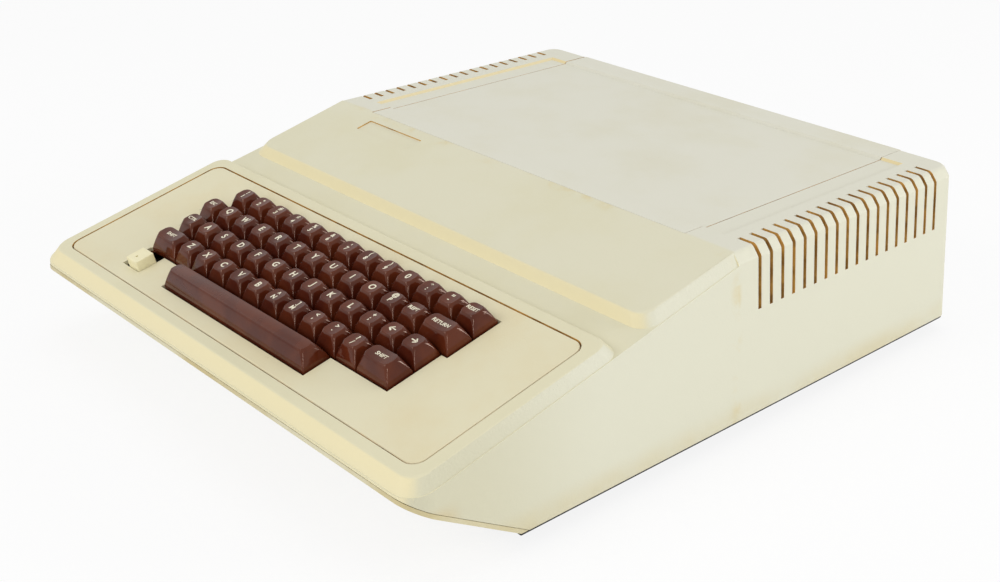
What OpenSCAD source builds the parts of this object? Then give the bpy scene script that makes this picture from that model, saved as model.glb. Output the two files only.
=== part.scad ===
// Wedge-shaped home computer of the late 1970s, in millimetres.
// X runs to the right, Y to the back, Z up. The origin is on the table, under the middle of the machine.

/* [Case] */
// Width across the side walls at their lower edge
case_w = 402; // [390:1:440]
// Depth from the nose to the rear wall
case_d = 457; // [445:1:480]
// Height of the top face above the table
case_h = 114.3; // [110:0.1:130]
// Thickness of the walls
wall = 3; // [2:0.1:3.6]
// Thickness of the top face
top_t = 4.5; // [4:0.1:5.5]
// Lean of the side walls, in degrees
draft_a = 5.4; // [3:0.1:6]
// Depth of the chin, from the nose back to the flat bottom
chin_run = 67.5; // [60:0.5:75]
// Slope of the chin, in degrees
chin_a = 30.3; // [28:0.1:31]
// Height of the chamfer along the top side edges
cham_h = 6.1; // [4:0.1:7]
// Width of the chamfer along the top side edges
cham_w = 4.9; // [3:0.1:6]
// Radius of the upright corners at the rear
corner_r = 8; // [5:0.5:12]
// Radius of the upright corners at the nose
nose_r = 15; // [8:0.5:20]
// Radius of the rear wall's top edge
top_r = 2; // [1:0.1:3]

/* [Deck] */
// Distance from the deck's face to the side walls' lower edge, on each side
deck_side = 10.1; // [9:0.1:12]
// Distance from the deck's front edge to the nose, along the slope
nose_gap = 6.72; // [5:0.01:8]
// Height of the sloping front's plane above the nose
nose_rise = 3.96; // [3:0.01:6]
// Distance from the crease to the deck's rear edge
deck_gap = 104.2; // [103:0.1:106]
// How far the deck's face stands above the plane of the sloping front
deck_rise = 2.75; // [1.5:0.05:3.5]
// Height of the nose's upright face
nose_face = 4.4; // [3.8:0.1:6]
// Distance from the crease to the front edge of the sloping front
slope_l = 74.2; // [70:0.1:78]
// Run of the bevel at the front of the sloping front
slope_bevel = 4.2; // [3:0.1:6]
// Run of the bevel at the deck's rear edge
rear_bevel = 7.3; // [3:0.1:9]
// Corner radius of the deck's face
deck_r = 9; // [6:0.5:12]
// Corner radius of the sloping front
slope_r = 11; // [6:0.5:14]
// Badge recess: width
badge_w = 58; // [30:1:80]
// Badge recess: length along the slope
badge_l = 13; // [8:0.5:18]
// Badge recess: depth
badge_depth = 0.8; // [0.4:0.1:1.2]

/* [Lid and vents] */
// Width of the lid
lid_w = 300.4; // [290:0.1:310]
// Gap around the lid
lid_gap = 0.5; // [0.3:0.05:1]
// Width of the sunken field across the top
field_w = 333.2; // [325:0.1:340]
// Distance from the crease to the sunken field
field_front_gap = 16.4; // [14:0.1:20]
// Distance from the sunken field to the rear wall
field_rear_gap = 21.8; // [18:0.1:26]
// How far the sunken field lies below the top face
field_depth = 1.6; // [0.8:0.1:2]
// Distance from the crease to the first vent slot
vent_gap = 18.5; // [16:0.1:24]
// Distance between vent slots
vent_pitch = 10.39; // [8:0.01:10.6]
// Width of a vent slot
vent_w = 2.8; // [2:0.1:4]
// Height of the vent slots' lower ends above the table
vent_z = 76; // [65:0.5:90]
// How far the vent slots reach in over the top, from the side edge
vent_reach = 15.8; // [12:0.1:18]

/* [Keyboard] */
// Distance between keys
key_pitch = 19.05; // [18.8:0.05:19.2]
// Gap between neighbouring key caps
key_gap = 1; // [0.8:0.1:1.6]
// Height of the key tops above the panel
key_rise = 11; // [9:0.1:12]
// Depth of the key skirts below the panel
key_skirt = 2.5; // [1.5:0.1:3]
// Key travel
key_travel = 4; // [3:0.1:4.5]
// Wall of a key cap
cap_wall = 1.4; // [1:0.1:1.8]
// Diameter of the key stems
stem_d = 5.6; // [4:0.1:6]
// Running gap of a stem in its switch
stem_gap = 0.3; // [0.2:0.05:0.5]
// Distance from the deck's rear edge to the rear row of keys
key_rear = 21.1; // [20:0.1:24]
// Distance from the front row of keys to the deck's front edge
key_front = 19.45; // [18:0.05:24]
// Width of the deck's rim at the panel's sides
rim_side = 8.6; // [6:0.1:12]
// Width of the deck's rim behind the panel
rim_rear = 8.2; // [6:0.1:10]
// Width of the deck's rim in front of the panel
rim_front = 7.6; // [6:0.1:10]
// Thickness of the keyboard panel
panel_t = 3; // [2:0.1:3.4]
// Seam around the keyboard panel
panel_gap = 0.5; // [0.3:0.05:0.8]
// Corner radius of the keyboard panel
panel_r = 8; // [4:0.5:12]
// Width of the ledge that carries the panel
ledge_w = 4; // [3:0.1:5]
// Clearance of the key cutout around the keys
cut_gap = 1; // [0.8:0.1:1.4]
// Depth of the keyboard plate's top face below the panel's face
plate_drop = 13; // [12.5:0.1:14]
// Thickness of the keyboard plate
plate_t = 1.5; // [1:0.1:2]
// Side length of a switch housing
switch_w = 14; // [13:0.1:15]
// Thickness of the circuit boards
board_t = 1.6; // [1.2:0.1:2]

/* [Base and inside] */
// Height of the rubber feet
foot_h = 9.6; // [6:0.1:14]
// Diameter of the rubber feet
foot_d = 19; // [14:0.5:24]
// Thickness of the base pan
pan_t = 1.4; // [1:0.1:2]
// Thickness of the chin panel
chin_t = 2.4; // [2:0.1:3]
// Seam between the case and the chin panel
seam = 0.3; // [0.2:0.05:0.5]
// Height of the main board above the base pan
standoff_h = 8; // [6:0.5:12]
// Depth of the main board
main_d = 216; // [205:1:220]
// Distance from the power supply to the main board
main_gap = 5; // [3:0.5:12]
// Width of the power supply
psu_w = 76; // [70:1:78]
// Length of the power supply
psu_l = 250; // [220:1:260]
// Height of the power supply
psu_h = 60; // [54:1:64]
// Thickness of the power supply's sheet metal
psu_t = 1.2; // [1:0.1:1.6]
// Number of expansion slots
slot_n = 8; // [4:1:8]
// Distance between expansion slots
slot_pitch = 20.3; // [19:0.1:21]
// Diameter of the video jack's sleeve
video_d = 8.3; // [8:0.1:9]
// Bore of the cassette jacks
cassette_d = 3.6; // [3.5:0.05:3.8]

/* [Hidden] */
$fn = 48;
EPS = 0.02;
BIG = 600;

rear_y = case_d / 2;
nose_y = -case_d / 2;
rim_z = foot_h + pan_t;
chin_y = nose_y + chin_run;
nose_z = rim_z + chin_run * tan(chin_a);
nose_top = nose_z + nose_face;

// The sloping front runs from the nose, under the deck and the groove, up to the crease
key_rows = 5;
deck_w = case_w - 2 * deck_side;
deck_l = key_rear + key_rows * key_pitch + key_front;
front_l = nose_gap + deck_l + deck_gap;
deck_tilt = asin((case_h - nose_top - nose_rise) / front_l);
crease_y = nose_y + front_l * cos(deck_tilt);
flat_d = rear_y - crease_y;
panel_w = deck_w - 2 * rim_side;
panel_l = deck_l - rim_rear - rim_front;
field_d = flat_d - field_front_gap - field_rear_gap;
vent_n = 1 + floor((flat_d - vent_gap - field_rear_gap + 1) / vent_pitch);
edge_drop = 1;
edge_rise = (case_h - cham_h - edge_drop - nose_top) / (crease_y - nose_y);
top_half = half_w(case_h - cham_h) - cham_w;

cream = [0.89, 0.86, 0.74];
cream_deck = [0.9, 0.87, 0.73];
key_brown = [0.36, 0.22, 0.17];
lamp_cream = [0.93, 0.9, 0.74];
steel = [0.62, 0.63, 0.64];
black = [0.09, 0.09, 0.1];
board_green = [0.13, 0.36, 0.2];
copper_gold = [0.72, 0.62, 0.36];

// Half width of the leaning side walls at a height
function half_w(z) = case_w / 2 - (z - rim_z) * tan(draft_a);
// Height of a slope plane at a depth, with the plane's rise over the sloping front
function slope_z(y, rise = 0) = case_h + (y - crease_y) * tan(deck_tilt) + rise / cos(deck_tilt);
// Height of the side walls' upper edge, and of the groove's floor, at a depth
function edge_z(y) = nose_top + (y - nose_y) * edge_rise;
// Depth and height of a point given along and out of the sloping front
function slope_py(s, n) = crease_y + s * cos(deck_tilt) - n * sin(deck_tilt);
function slope_pz(s, n) = case_h + s * sin(deck_tilt) + n * cos(deck_tilt);
// Height of the chin's outer face at a depth, and of a plane that lies inside it
function chin_z(y, inside = 0) = rim_z + (chin_y - y) * tan(chin_a) + inside / cos(chin_a);
// Points of a key row from the crease, along the slope
key_row0 = -deck_gap - key_rear - key_pitch / 2;
function row_s(row) = key_row0 - row * key_pitch;
// Left edge of the widest key row, which lies a little to the left of the middle
key_shift = 1.66;
key_left = -13.5 / 2 * key_pitch - key_shift;
function col_x(u) = key_left + u * key_pitch;

// Keys: name, row, left edge and width in key units
SINGLE_KEYS = [
    ["key_reset", 0, 12.5, 1],
    ["key_escape", 1, 0, 1],
    ["key_q", 1, 1, 1],
    ["key_w", 1, 2, 1],
    ["key_e", 1, 3, 1],
    ["key_r", 1, 4, 1],
    ["key_t", 1, 5, 1],
    ["key_y", 1, 6, 1],
    ["key_u", 1, 7, 1],
    ["key_i", 1, 8, 1],
    ["key_o", 1, 9, 1],
    ["key_p", 1, 10, 1],
    ["key_repeat", 1, 11, 1],
    ["key_return", 1, 12, 1.5],
    ["key_control", 2, 0.25, 1],
    ["key_a", 2, 1.25, 1],
    ["key_s", 2, 2.25, 1],
    ["key_d", 2, 3.25, 1],
    ["key_f", 2, 4.25, 1],
    ["key_g", 2, 5.25, 1],
    ["key_h", 2, 6.25, 1],
    ["key_j", 2, 7.25, 1],
    ["key_k", 2, 8.25, 1],
    ["key_l", 2, 9.25, 1],
    ["key_semicolon", 2, 10.25, 1],
    ["key_arrow_left", 2, 11.25, 1],
    ["key_arrow_right", 2, 12.25, 1],
    ["key_shift_left", 3, 0.25, 1.5],
    ["key_shift_right", 3, 11.75, 1.5],
];
NUMBER_KEYS = [for (i = [0:11]) ["number_keys", 0, 0.5 + i, 1]];
LOWER_KEYS = [for (i = [0:9]) ["lower_keys", 3, 1.75 + i, 1]];
space_u = 2.7;
space_units = 7.9;
SPACE = ["space_bar", 4, space_u, space_units];
ALL_KEYS = concat(SINGLE_KEYS, NUMBER_KEYS, LOWER_KEYS, [SPACE]);
key_names = [for (k = SINGLE_KEYS) k[0]];

// ---------------------------------------------------------------- helpers

// A prism along X from points in depth and height
module side_prism(pts, w = BIG) {
    rotate([90, 0, 90])
        linear_extrude(w, center = true)
            polygon(pts);
}

// Children stand on the sloping front: x to the right, y up the slope, z out of it
module slope(rise = 0) {
    translate([0, crease_y, case_h])
        rotate([deck_tilt, 0, 0])
            translate([0, 0, rise])
                children();
}

// Children stand on the keyboard deck's face
module deck() {
    slope(deck_rise)
        children();
}

// A box with its lower left front corner at a point
module box(x0, x1, y0, y1, z0, z1) {
    translate([x0, y0, z0])
        cube([x1 - x0, y1 - y0, z1 - z0]);
}

// A flat plate with round corners
module round_plate(x0, x1, y0, y1, z0, z1, r) {
    translate([0, 0, z0])
        linear_extrude(z1 - z0)
            round_rect(x0, x1, y0, y1, r);
}

module round_rect(x0, x1, y0, y1, r) {
    translate([x0 + r, y0])
        square([x1 - x0 - 2 * r, y1 - y0]);
    translate([x0, y0 + r])
        square([x1 - x0, y1 - y0 - 2 * r]);
    for (x = [x0 + r, x1 - r], y = [y0 + r, y1 - r])
        translate([x, y])
            circle(r);
}

// Four thin discs, the corners of one level of the case
module case_level(z, inset, narrower) {
    hw = half_w(z) - inset - narrower;
    for (sx = [-1, 1], sy = [-1, 1]) {
        r = (sy < 0 ? nose_r : corner_r) - inset;
        translate([sx * (hw - r), sy * (case_d / 2 - inset - r), z - EPS])
            cylinder(r = r, h = EPS, $fn = 32);
    }
}

// The case's block with leaning walls and chamfered top edges, drawn in by an inset
module case_block(inset = 0, drop = 0) {
    hull() {
        case_level(-20, inset, 0);
        case_level(case_h - cham_h - drop, inset, 0);
        case_level(case_h - drop, inset, half_w(case_h) - top_half);
    }
}

// ---------------------------------------------------------------- case

// Outline of the case below its raised faces, seen from the side
tail = 2.4;
lower_outline = [
    [chin_y + (chin_t + seam) / sin(chin_a), rim_z],
    [rear_y - tail, rim_z],
    [rear_y - tail * 0.3, rim_z + tail * 0.3],
    [rear_y, rim_z + tail],
    for (a = [0:22.5:90])
        [rear_y - top_r + top_r * cos(a), case_h - top_r + top_r * sin(a)],
    [crease_y, case_h],
    [crease_y, edge_z(crease_y)],
    [nose_y - 1, edge_z(nose_y - 1)],
    [nose_y - 1, chin_z(nose_y - 1, chin_t + seam)],
];

// The same outline for the hollow inside
hollow_outline = [
    [nose_y, rim_z - BIG],
    [rear_y, rim_z - BIG],
    [rear_y, case_h - top_t],
    [crease_y + top_t, case_h - top_t],
    [crease_y, edge_z(crease_y) - wall],
    [nose_y, edge_z(nose_y) - wall],
];

deck_front = -deck_gap - deck_l;
sink = 0.5;
ledge = 0.3;

// One corner of a raised face: a thin disc on the sloping front, or on the walls' upper edge
module face_corner(x, s, n, r) {
    slope(n - EPS)
        translate([x - sign(x) * r, s, 0])
            cylinder(r = r, h = EPS, $fn = 32);
}
module edge_corner(sx, y, shift, r) {
    x = half_w(edge_z(y)) - ledge - r;
    translate([sx * x, y + shift * r, edge_z(y + shift * r) - sink])
        rotate([deck_tilt, 0, 0])
            cylinder(r = r, h = EPS, $fn = 32);
}

// The raised keyboard deck with bevelled edges
module deck_block() {
    low_rear = slope_py(-deck_gap, deck_rise) + rear_bevel;
    hull()
        for (sx = [-1, 1]) {
            face_corner(sx * deck_w / 2, deck_front + deck_r, deck_rise, deck_r);
            face_corner(sx * deck_w / 2, -deck_gap - deck_r, deck_rise, deck_r);
            edge_corner(sx, nose_y - sink, 1, nose_r);
            edge_corner(sx, low_rear, -1, deck_r);
        }
}

// The sloping front, raised above the groove
module slope_block() {
    low_front = slope_py(-slope_l, 0) - slope_bevel;
    hull()
        for (sx = [-1, 1]) {
            face_corner(sx * top_half, -slope_l + slope_r, 0, slope_r);
            face_corner(sx * top_half, top_t, 0, slope_r);
            edge_corner(sx, low_front, 1, slope_r + 1);
            edge_corner(sx, crease_y + top_t, 0, slope_r);
        }
}

// The sunken field that crosses the lid and the case
field_front = crease_y + field_front_gap;
module field_cut() {
    d = field_depth;
    reach = 4;
    intersection() {
        side_prism([
            [field_front + d, case_h - d],
            [field_front + field_d - d, case_h - d],
            [field_front + field_d + reach, case_h + reach],
            [field_front - reach, case_h + reach],
        ]);
        rotate([90, 0, 0])
            linear_extrude(BIG, center = true)
                polygon([
                    [-field_w / 2 + d, case_h - d],
                    [field_w / 2 - d, case_h - d],
                    [field_w / 2 + reach, case_h + reach],
                    [-field_w / 2 - reach, case_h + reach],
                ]);
    }
}

vent_y0 = crease_y + vent_gap;
module vents() {
    inner_x = half_w(case_h) - vent_reach;
    for (sx = [-1, 1], i = [0:vent_n - 1])
        translate([0, vent_y0 + i * vent_pitch, 0])
            if (sx > 0)
                box(inner_x, BIG, -vent_w / 2, vent_w / 2, vent_z, case_h + 1);
            else
                box(-BIG, -inner_x, -vent_w / 2, vent_w / 2, vent_z, case_h + 1);
}

// Ledges under the lid: rails at its sides, and a shelf under its front edge
rail_w = 7;
rail_t = 3;
lid_low = case_h - top_t;
module lid_rails() {
    for (sx = [-1, 1])
        box(sx * lid_w / 2 - rail_w, sx * lid_w / 2 + rail_w,
            crease_y, rear_y - wall, lid_low - rail_t, lid_low + 1);
    box(-lid_w / 2 - rail_w, lid_w / 2 + rail_w, crease_y - rail_w, crease_y + rail_w,
        lid_low - rail_t, lid_low + 1);
}

module lid_opening() {
    box(-lid_w / 2 - lid_gap / 2, lid_w / 2 + lid_gap / 2, crease_y, BIG, lid_low, case_h + 1);
}

// Rear wall openings: card cable notches, power supply window, jack holes
notch_w = 14;
notch_low = 46;
psu_x0 = -half_w(rim_z) + 20;
psu_x1 = psu_x0 + psu_w;
psu_window_x0 = psu_x0 + 8;
psu_window_w = 60;
psu_window_z0 = rim_z + 13;
psu_window_h = 36;
main_z = rim_z + standoff_h + board_t;
main_x0 = psu_x1 + main_gap;
main_x1 = half_w(rim_z) - 21;
main_w = main_x1 - main_x0;
main_y1 = rear_y - wall - 1.5;
main_y0 = main_y1 - main_d;
slot_x0 = main_x0 + 16;
notch_x = [for (i = [0:3]) slot_x0 + 22 + i * 40];
video_x = main_x1 - 20;
cassette_x = [main_x1 - 68, main_x1 - 50];
jack_z = main_z + 7;
module rear_openings() {
    for (x = notch_x)
        box(x - notch_w / 2, x + notch_w / 2, rear_y - 2 * wall, BIG, notch_low, lid_low - rail_t - 8);
    box(psu_window_x0, psu_window_x0 + psu_window_w, rear_y - 2 * wall, BIG,
        psu_window_z0, psu_window_z0 + psu_window_h);
    box(cassette_x[0] - 9, video_x + 9, rear_y - 2 * wall, BIG, main_z - 0.5, main_z + 15);
}

// Screw bosses of the base pan, in pairs along the side walls
boss_r = 5;
boss_h = 20;
boss_x = half_w(rim_z) - 14;
boss_y = [chin_y + 21, (chin_y + rear_y) / 2 - 3.75, rear_y - 23.5];
screw_r = 1.9;
screw_fit = 0.1;
module base_bosses() {
    for (sx = [-1, 1], y = boss_y)
        translate([sx * boss_x, y, rim_z]) {
            cylinder(r = boss_r, h = boss_h);
            box(min(0, sx * 12), max(0, sx * 12), -wall / 2, wall / 2, 0, boss_h);
        }
}
module base_bores() {
    for (sx = [-1, 1], y = boss_y)
        translate([sx * boss_x, y, rim_z - 1])
            cylinder(r = screw_r + screw_fit, h = boss_h - 2);
}

// Chin bosses stand square to the chin, under the front rim of the deck
chin_boss_x = [-150, -50, 50, 150];
chin_boss_y = nose_y + 6;
chin_boss_h = 16;
module on_chin(x) {
    translate([x, chin_boss_y, chin_z(chin_boss_y)])
        rotate([-chin_a, 0, 0])
            children();
}
module chin_bosses() {
    for (x = chin_boss_x)
        on_chin(x)
            translate([0, 0, chin_t])
                cylinder(r = 4, h = chin_boss_h - chin_t);
}
module chin_bores() {
    for (x = chin_boss_x)
        on_chin(x)
            cylinder(r = screw_r + screw_fit, h = chin_boss_h - 3);
}

badge_x = -lid_w / 2 + 39;
badge_gap = 9;
module case_shell() {
    color(cream)
        difference() {
            intersection() {
                case_block();
                union() {
                    difference() {
                        union() {
                            side_prism(lower_outline);
                            deck_block();
                            slope_block();
                        }
                        intersection() {
                            case_block(wall, top_t - wall);
                            union() {
                                side_prism(hollow_outline);
                                deck_pocket();
                                slope_pocket();
                            }
                        }
                    }
                    lid_rails();
                    base_bosses();
                    chin_bosses();
                }
            }
            lid_opening();
            field_cut();
            base_bores();
            chin_bores();
            vents();
            rear_openings();
            slope(0)
                round_plate(badge_x - badge_w / 2, badge_x + badge_w / 2,
                            -badge_gap - badge_l, -badge_gap, -badge_depth, 1, 1);
            deck()
                round_plate(-panel_w / 2 - panel_gap, panel_w / 2 + panel_gap,
                            panel_y0 - panel_gap, panel_y1 + panel_gap, -panel_t, BIG / 10,
                            panel_r + panel_gap);
            deck()
                round_plate(-panel_w / 2 + ledge_w, panel_w / 2 - ledge_w,
                            panel_y0 + ledge_w, panel_y1 - ledge_w, -30, 1, panel_r);
        }
}

panel_y1 = -deck_gap - rim_rear;
panel_y0 = panel_y1 - panel_l;

// Hollow under the deck's rim, and under the sloping front
rim_t = 5.5;
module deck_pocket() {
    slope(0)
        box(-deck_w / 2 + wall, deck_w / 2 - wall, deck_front + wall, -deck_gap - wall,
            -BIG / 10, deck_rise - rim_t);
}
module slope_pocket() {
    slope(0)
        box(-top_half + wall, top_half - wall, -slope_l + wall, -rail_w + 1, -BIG / 10, -wall);
}

module lid() {
    lip_h = 10;
    color(cream)
        difference() {
            intersection() {
                case_block();
                union() {
                    box(-lid_w / 2 + lid_gap / 2, lid_w / 2 - lid_gap / 2, crease_y + lid_gap, rear_y,
                        lid_low, case_h);
                    for (x = [-100, -33, 33, 100])
                        box(x - 1.25, x + 1.25, crease_y + 30, rear_y - 20, lid_low - 4, lid_low);
                    box(-100, 100, crease_y + flat_d / 2, crease_y + flat_d / 2 + 2.5, lid_low - 4,
                        lid_low);
                }
            }
            field_cut();
        }
}

module base_pan() {
    m = 0.6;
    color(black)
        difference() {
            intersection() {
                case_block(m);
                box(-BIG, BIG, chin_y, rear_y - tail - m, foot_h, rim_z);
            }
            for (sx = [-1, 1], y = boss_y)
                translate([sx * boss_x, y, 0])
                    cylinder(r = screw_r + 0.3, h = rim_z + 1);
        }
}

module chin_panel() {
    color(cream)
        difference() {
            intersection() {
                case_block(0.1);
                side_prism([
                    [chin_y, rim_z],
                    [chin_y + chin_t / sin(chin_a), rim_z],
                    [nose_y - 1, chin_z(nose_y - 1, chin_t)],
                    [nose_y - 1, chin_z(nose_y - 1)],
                ]);
            }
            for (x = chin_boss_x)
                on_chin(x)
                    translate([0, 0, -1])
                        cylinder(r = screw_r + 0.3, h = chin_t + 2);
        }
}

foot_x = boss_x - 22;
foot_y = [chin_y + 26, rear_y - 33.5];
module rubber_feet() {
    color([0.13, 0.13, 0.13])
        for (sx = [-1, 1], y = foot_y)
            translate([sx * foot_x, y, 0])
                cylinder(r1 = foot_d / 2, r2 = foot_d / 2 + 1, h = foot_h);
}

// ---------------------------------------------------------------- keyboard

// Cells of one row, with the cutout's clearance
module row_cells(row, u0, u1) {
    translate([col_x(u0) - cut_gap, row_s(row) - key_pitch / 2 - cut_gap])
        square([(u1 - u0) * key_pitch + 2 * cut_gap, key_pitch + 2 * cut_gap]);
}
lamp_cut_w = 20.2;
lamp_left = col_x(0.25) - 2.1;
module key_cutout() {
    row_cells(0, 0.5, 13.5);
    row_cells(1, 0, 13.5);
    row_cells(2, 0.25, 13.25);
    row_cells(3, 0.25, 13.25);
    row_cells(4, space_u, space_u + space_units);
    translate([lamp_left, row_s(4) - key_pitch / 2 - cut_gap])
        square([lamp_cut_w, key_pitch + cut_gap + 1]);
}

post_r = 4;
post_x = panel_w / 2 - 30.3;
post_rear = panel_y1 - ledge_w - post_r - 1;
post_front = panel_y0 + ledge_w + post_r + 1;
panel_posts = [
    [-post_x, post_rear], [post_x, post_rear], [-post_x, post_front], [post_x, post_front],
];
module keyboard_panel() {
    color(cream_deck)
        deck()
            difference() {
                union() {
                    round_plate(-panel_w / 2, panel_w / 2, panel_y0, panel_y1, -panel_t, 0, panel_r);
                    for (p = panel_posts)
                        translate([p[0], p[1], -plate_drop])
                            cylinder(r = post_r, h = plate_drop - panel_t / 2);
                }
                translate([0, 0, -panel_t - 1])
                    linear_extrude(panel_t + 2)
                        key_cutout();
                for (p = panel_posts)
                    translate([p[0], p[1], -plate_drop - 1])
                        cylinder(r = screw_r + screw_fit, h = plate_drop - panel_t - 1);
            }
}

lamp_w = 12.5;
lamp_l = 13;
lamp_h = 7;
lamp_x1 = lamp_left + lamp_cut_w - 0.4;
lamp_y0 = row_s(4) - key_pitch / 2 - cut_gap + 0.5;
module power_lamp() {
    color(lamp_cream)
        deck()
            difference() {
                round_plate(lamp_x1 - lamp_w, lamp_x1, lamp_y0, lamp_y0 + lamp_l, -plate_drop, lamp_h, 1);
                translate([lamp_x1 - lamp_w / 2, lamp_y0 + 4.5, lamp_h - 1])
                    cylinder(r = 0.9, h = 3);
            }
}

plate_x0 = key_left - (panel_w / 2 - post_x) + 2.3;
plate_x1 = -plate_x0;
plate_y0 = post_front - post_r;
plate_y1 = row_s(0) + key_pitch / 2 + 6;
module keyboard_plate() {
    color(steel)
        deck()
            difference() {
                box(plate_x0, plate_x1, plate_y0, plate_y1, -plate_drop - plate_t, -plate_drop);
                for (k = ALL_KEYS)
                    translate([key_x(k), row_s(k[1]), -plate_drop - plate_t - 1])
                        linear_extrude(plate_t + 2)
                            square(switch_w, center = true);
                for (p = panel_posts)
                    translate([p[0], p[1], -plate_drop - plate_t - 1])
                        cylinder(r = screw_r + 0.3, h = plate_t + 2);
            }
}

function key_x(k) = col_x(k[2] + k[3] / 2);
switch_top = -key_skirt - key_travel - 1;
switch_low = -plate_drop - plate_t - 6;
flange = 0.8;
module key_switches() {
    color([0.2, 0.2, 0.21])
        deck()
            for (k = ALL_KEYS)
                translate([key_x(k), row_s(k[1]), 0])
                    difference() {
                        union() {
                            w = switch_w / 2 - 0.1;
                            box(-w, w, -w, w, switch_low, switch_top);
                            box(-w - flange, w + flange, -w - flange, w + flange, -plate_drop,
                                -plate_drop + 1.2);
                        }
                        translate([0, 0, switch_low + 1])
                            cylinder(r = stem_d / 2 + stem_gap, h = switch_top - switch_low, $fn = 24);
                    }
}

module keyboard_board() {
    color(board_green)
        deck()
            box(plate_x0 + 6, plate_x1 - 6, plate_y0 + 1, plate_y1 - 4, switch_low - board_t, switch_low);
}

// A key cap: walls lean in, more at the back than at the front, and the top is dished
lean_side = 3.3;
lean_front = 2.4;
lean_rear = 4.2;
dish_r = 36;
dish_depth = 0.7;
function dish_radius(w) = dish_r * pow(w / (key_pitch - key_gap), 2);
module cap_body(w, d, inset, top) {
    rotate([90, 0, 0])
        linear_extrude(d - 2 * inset, center = true)
            polygon([
                [-w / 2 + inset, -key_skirt],
                [w / 2 - inset, -key_skirt],
                [w / 2 - inset, 0.5],
                [w / 2 - inset - lean_side, top],
                [-w / 2 + inset + lean_side, top],
                [-w / 2 + inset, 0.5],
            ]);
}
module cap_profile(d, inset, top) {
    side_prism([
        [-d / 2 + inset, -key_skirt],
        [d / 2 - inset, -key_skirt],
        [d / 2 - inset, 0.5],
        [d / 2 - inset - lean_rear, top],
        [-d / 2 + inset + lean_front, top],
        [-d / 2 + inset, 0.5],
    ]);
}
module key_cap(k) {
    w = k[3] * key_pitch - key_gap;
    d = key_pitch - key_gap;
    deck()
        translate([key_x(k), row_s(k[1]), 0]) {
            difference() {
                intersection() {
                    cap_body(w, d, 0, key_rise);
                    cap_profile(d, 0, key_rise);
                }
                intersection() {
                    cap_body(w, d, cap_wall, key_rise - cap_wall - dish_depth);
                    cap_profile(d, cap_wall, key_rise - cap_wall - dish_depth);
                }
                if (w < 2 * key_pitch)
                    translate([0, 0, key_rise + dish_radius(w) - dish_depth])
                        rotate([90, 0, 0])
                            cylinder(r = dish_radius(w), h = 2 * d, center = true, $fn = 180);
            }
            translate([0, 0, switch_low + 1.5 + key_travel])
                cylinder(r = stem_d / 2, h = key_rise - 1.8 - switch_low - key_travel - 1.5, $fn = 24);
        }
}
module keys(list) {
    color(key_brown)
        for (k = list)
            key_cap(k);
}

// Flat cable from the keyboard board to the main board, as a swept strip
ribbon_w = 32;
ribbon_t = 1;
ribbon_x = 30;
ribbon_steps = 12;
plug_s = plate_y1 - 12;
plug_n = switch_low - board_t + deck_rise;
rib_a = [slope_py(plug_s, plug_n - 4), slope_pz(plug_s, plug_n - 4)];
rib_b = rib_a + [20, -30];
rib_c = [main_y0 - 50, main_z + 4];
rib_d = [main_y0 + 12, main_z + 5];
function bez(t) = pow(1 - t, 3) * rib_a + 3 * t * pow(1 - t, 2) * rib_b
    + 3 * t * t * (1 - t) * rib_c + pow(t, 3) * rib_d;
module keyboard_ribbon() {
    up = [for (i = [0:ribbon_steps]) bez(i / ribbon_steps)];
    down = [for (i = [ribbon_steps:-1:0]) bez(i / ribbon_steps) - [0, ribbon_t]];
    color([0.6, 0.62, 0.66])
        translate([ribbon_x, 0, 0]) {
            side_prism(concat(up, down), ribbon_w);
            translate([0, rib_d[0], main_z])
                box(-ribbon_w / 2 - 2, ribbon_w / 2 + 2, -3, 3, 0, rib_d[1] - main_z + 1);
            slope(plug_n)
                box(-ribbon_w / 2 - 2, ribbon_w / 2 + 2, plug_s - 3, plug_s + 3, -6, 0);
        }
}

// ---------------------------------------------------------------- main board

module main_board() {
    color(board_green)
        box(main_x0, main_x1, main_y0, main_y1, main_z - board_t, main_z);
}

module board_standoffs() {
    color([0.93, 0.93, 0.9])
        for (x = [main_x0 + 8, (main_x0 + main_x1) / 2, main_x1 - 8], y = [main_y0 + 8, main_y1 - 10])
            translate([x, y, rim_z])
                cylinder(r = 4, h = standoff_h);
}

slot_l = 74;
slot_w = 9;
slot_h = 12;
module expansion_slots() {
    color([0.12, 0.12, 0.13])
        for (i = [0:slot_n - 1])
            translate([slot_x0 + i * slot_pitch, main_y1 - 22 - slot_l, main_z])
                difference() {
                    box(-slot_w / 2, slot_w / 2, 0, slot_l, 0, slot_h);
                    box(-0.9, 0.9, 3, slot_l - 3, 3, slot_h + 1);
                }
}

// A dual in-line chip: body with a notch, standing on two rows of legs
module chip(l, w) {
    color(black)
        difference() {
            box(-l / 2, l / 2, -w / 2, w / 2, 1, 4.2);
            translate([-l / 2, 0, 3.4])
                cylinder(r = 1.2, h = 2, $fn = 24);
        }
    color(steel)
        for (sy = [-1, 1])
            box(-l / 2 + 1, l / 2 - 1, sy * (w / 2 - 0.6) - 0.4, sy * (w / 2 - 0.6) + 0.4, 0, 1);
}
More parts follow.
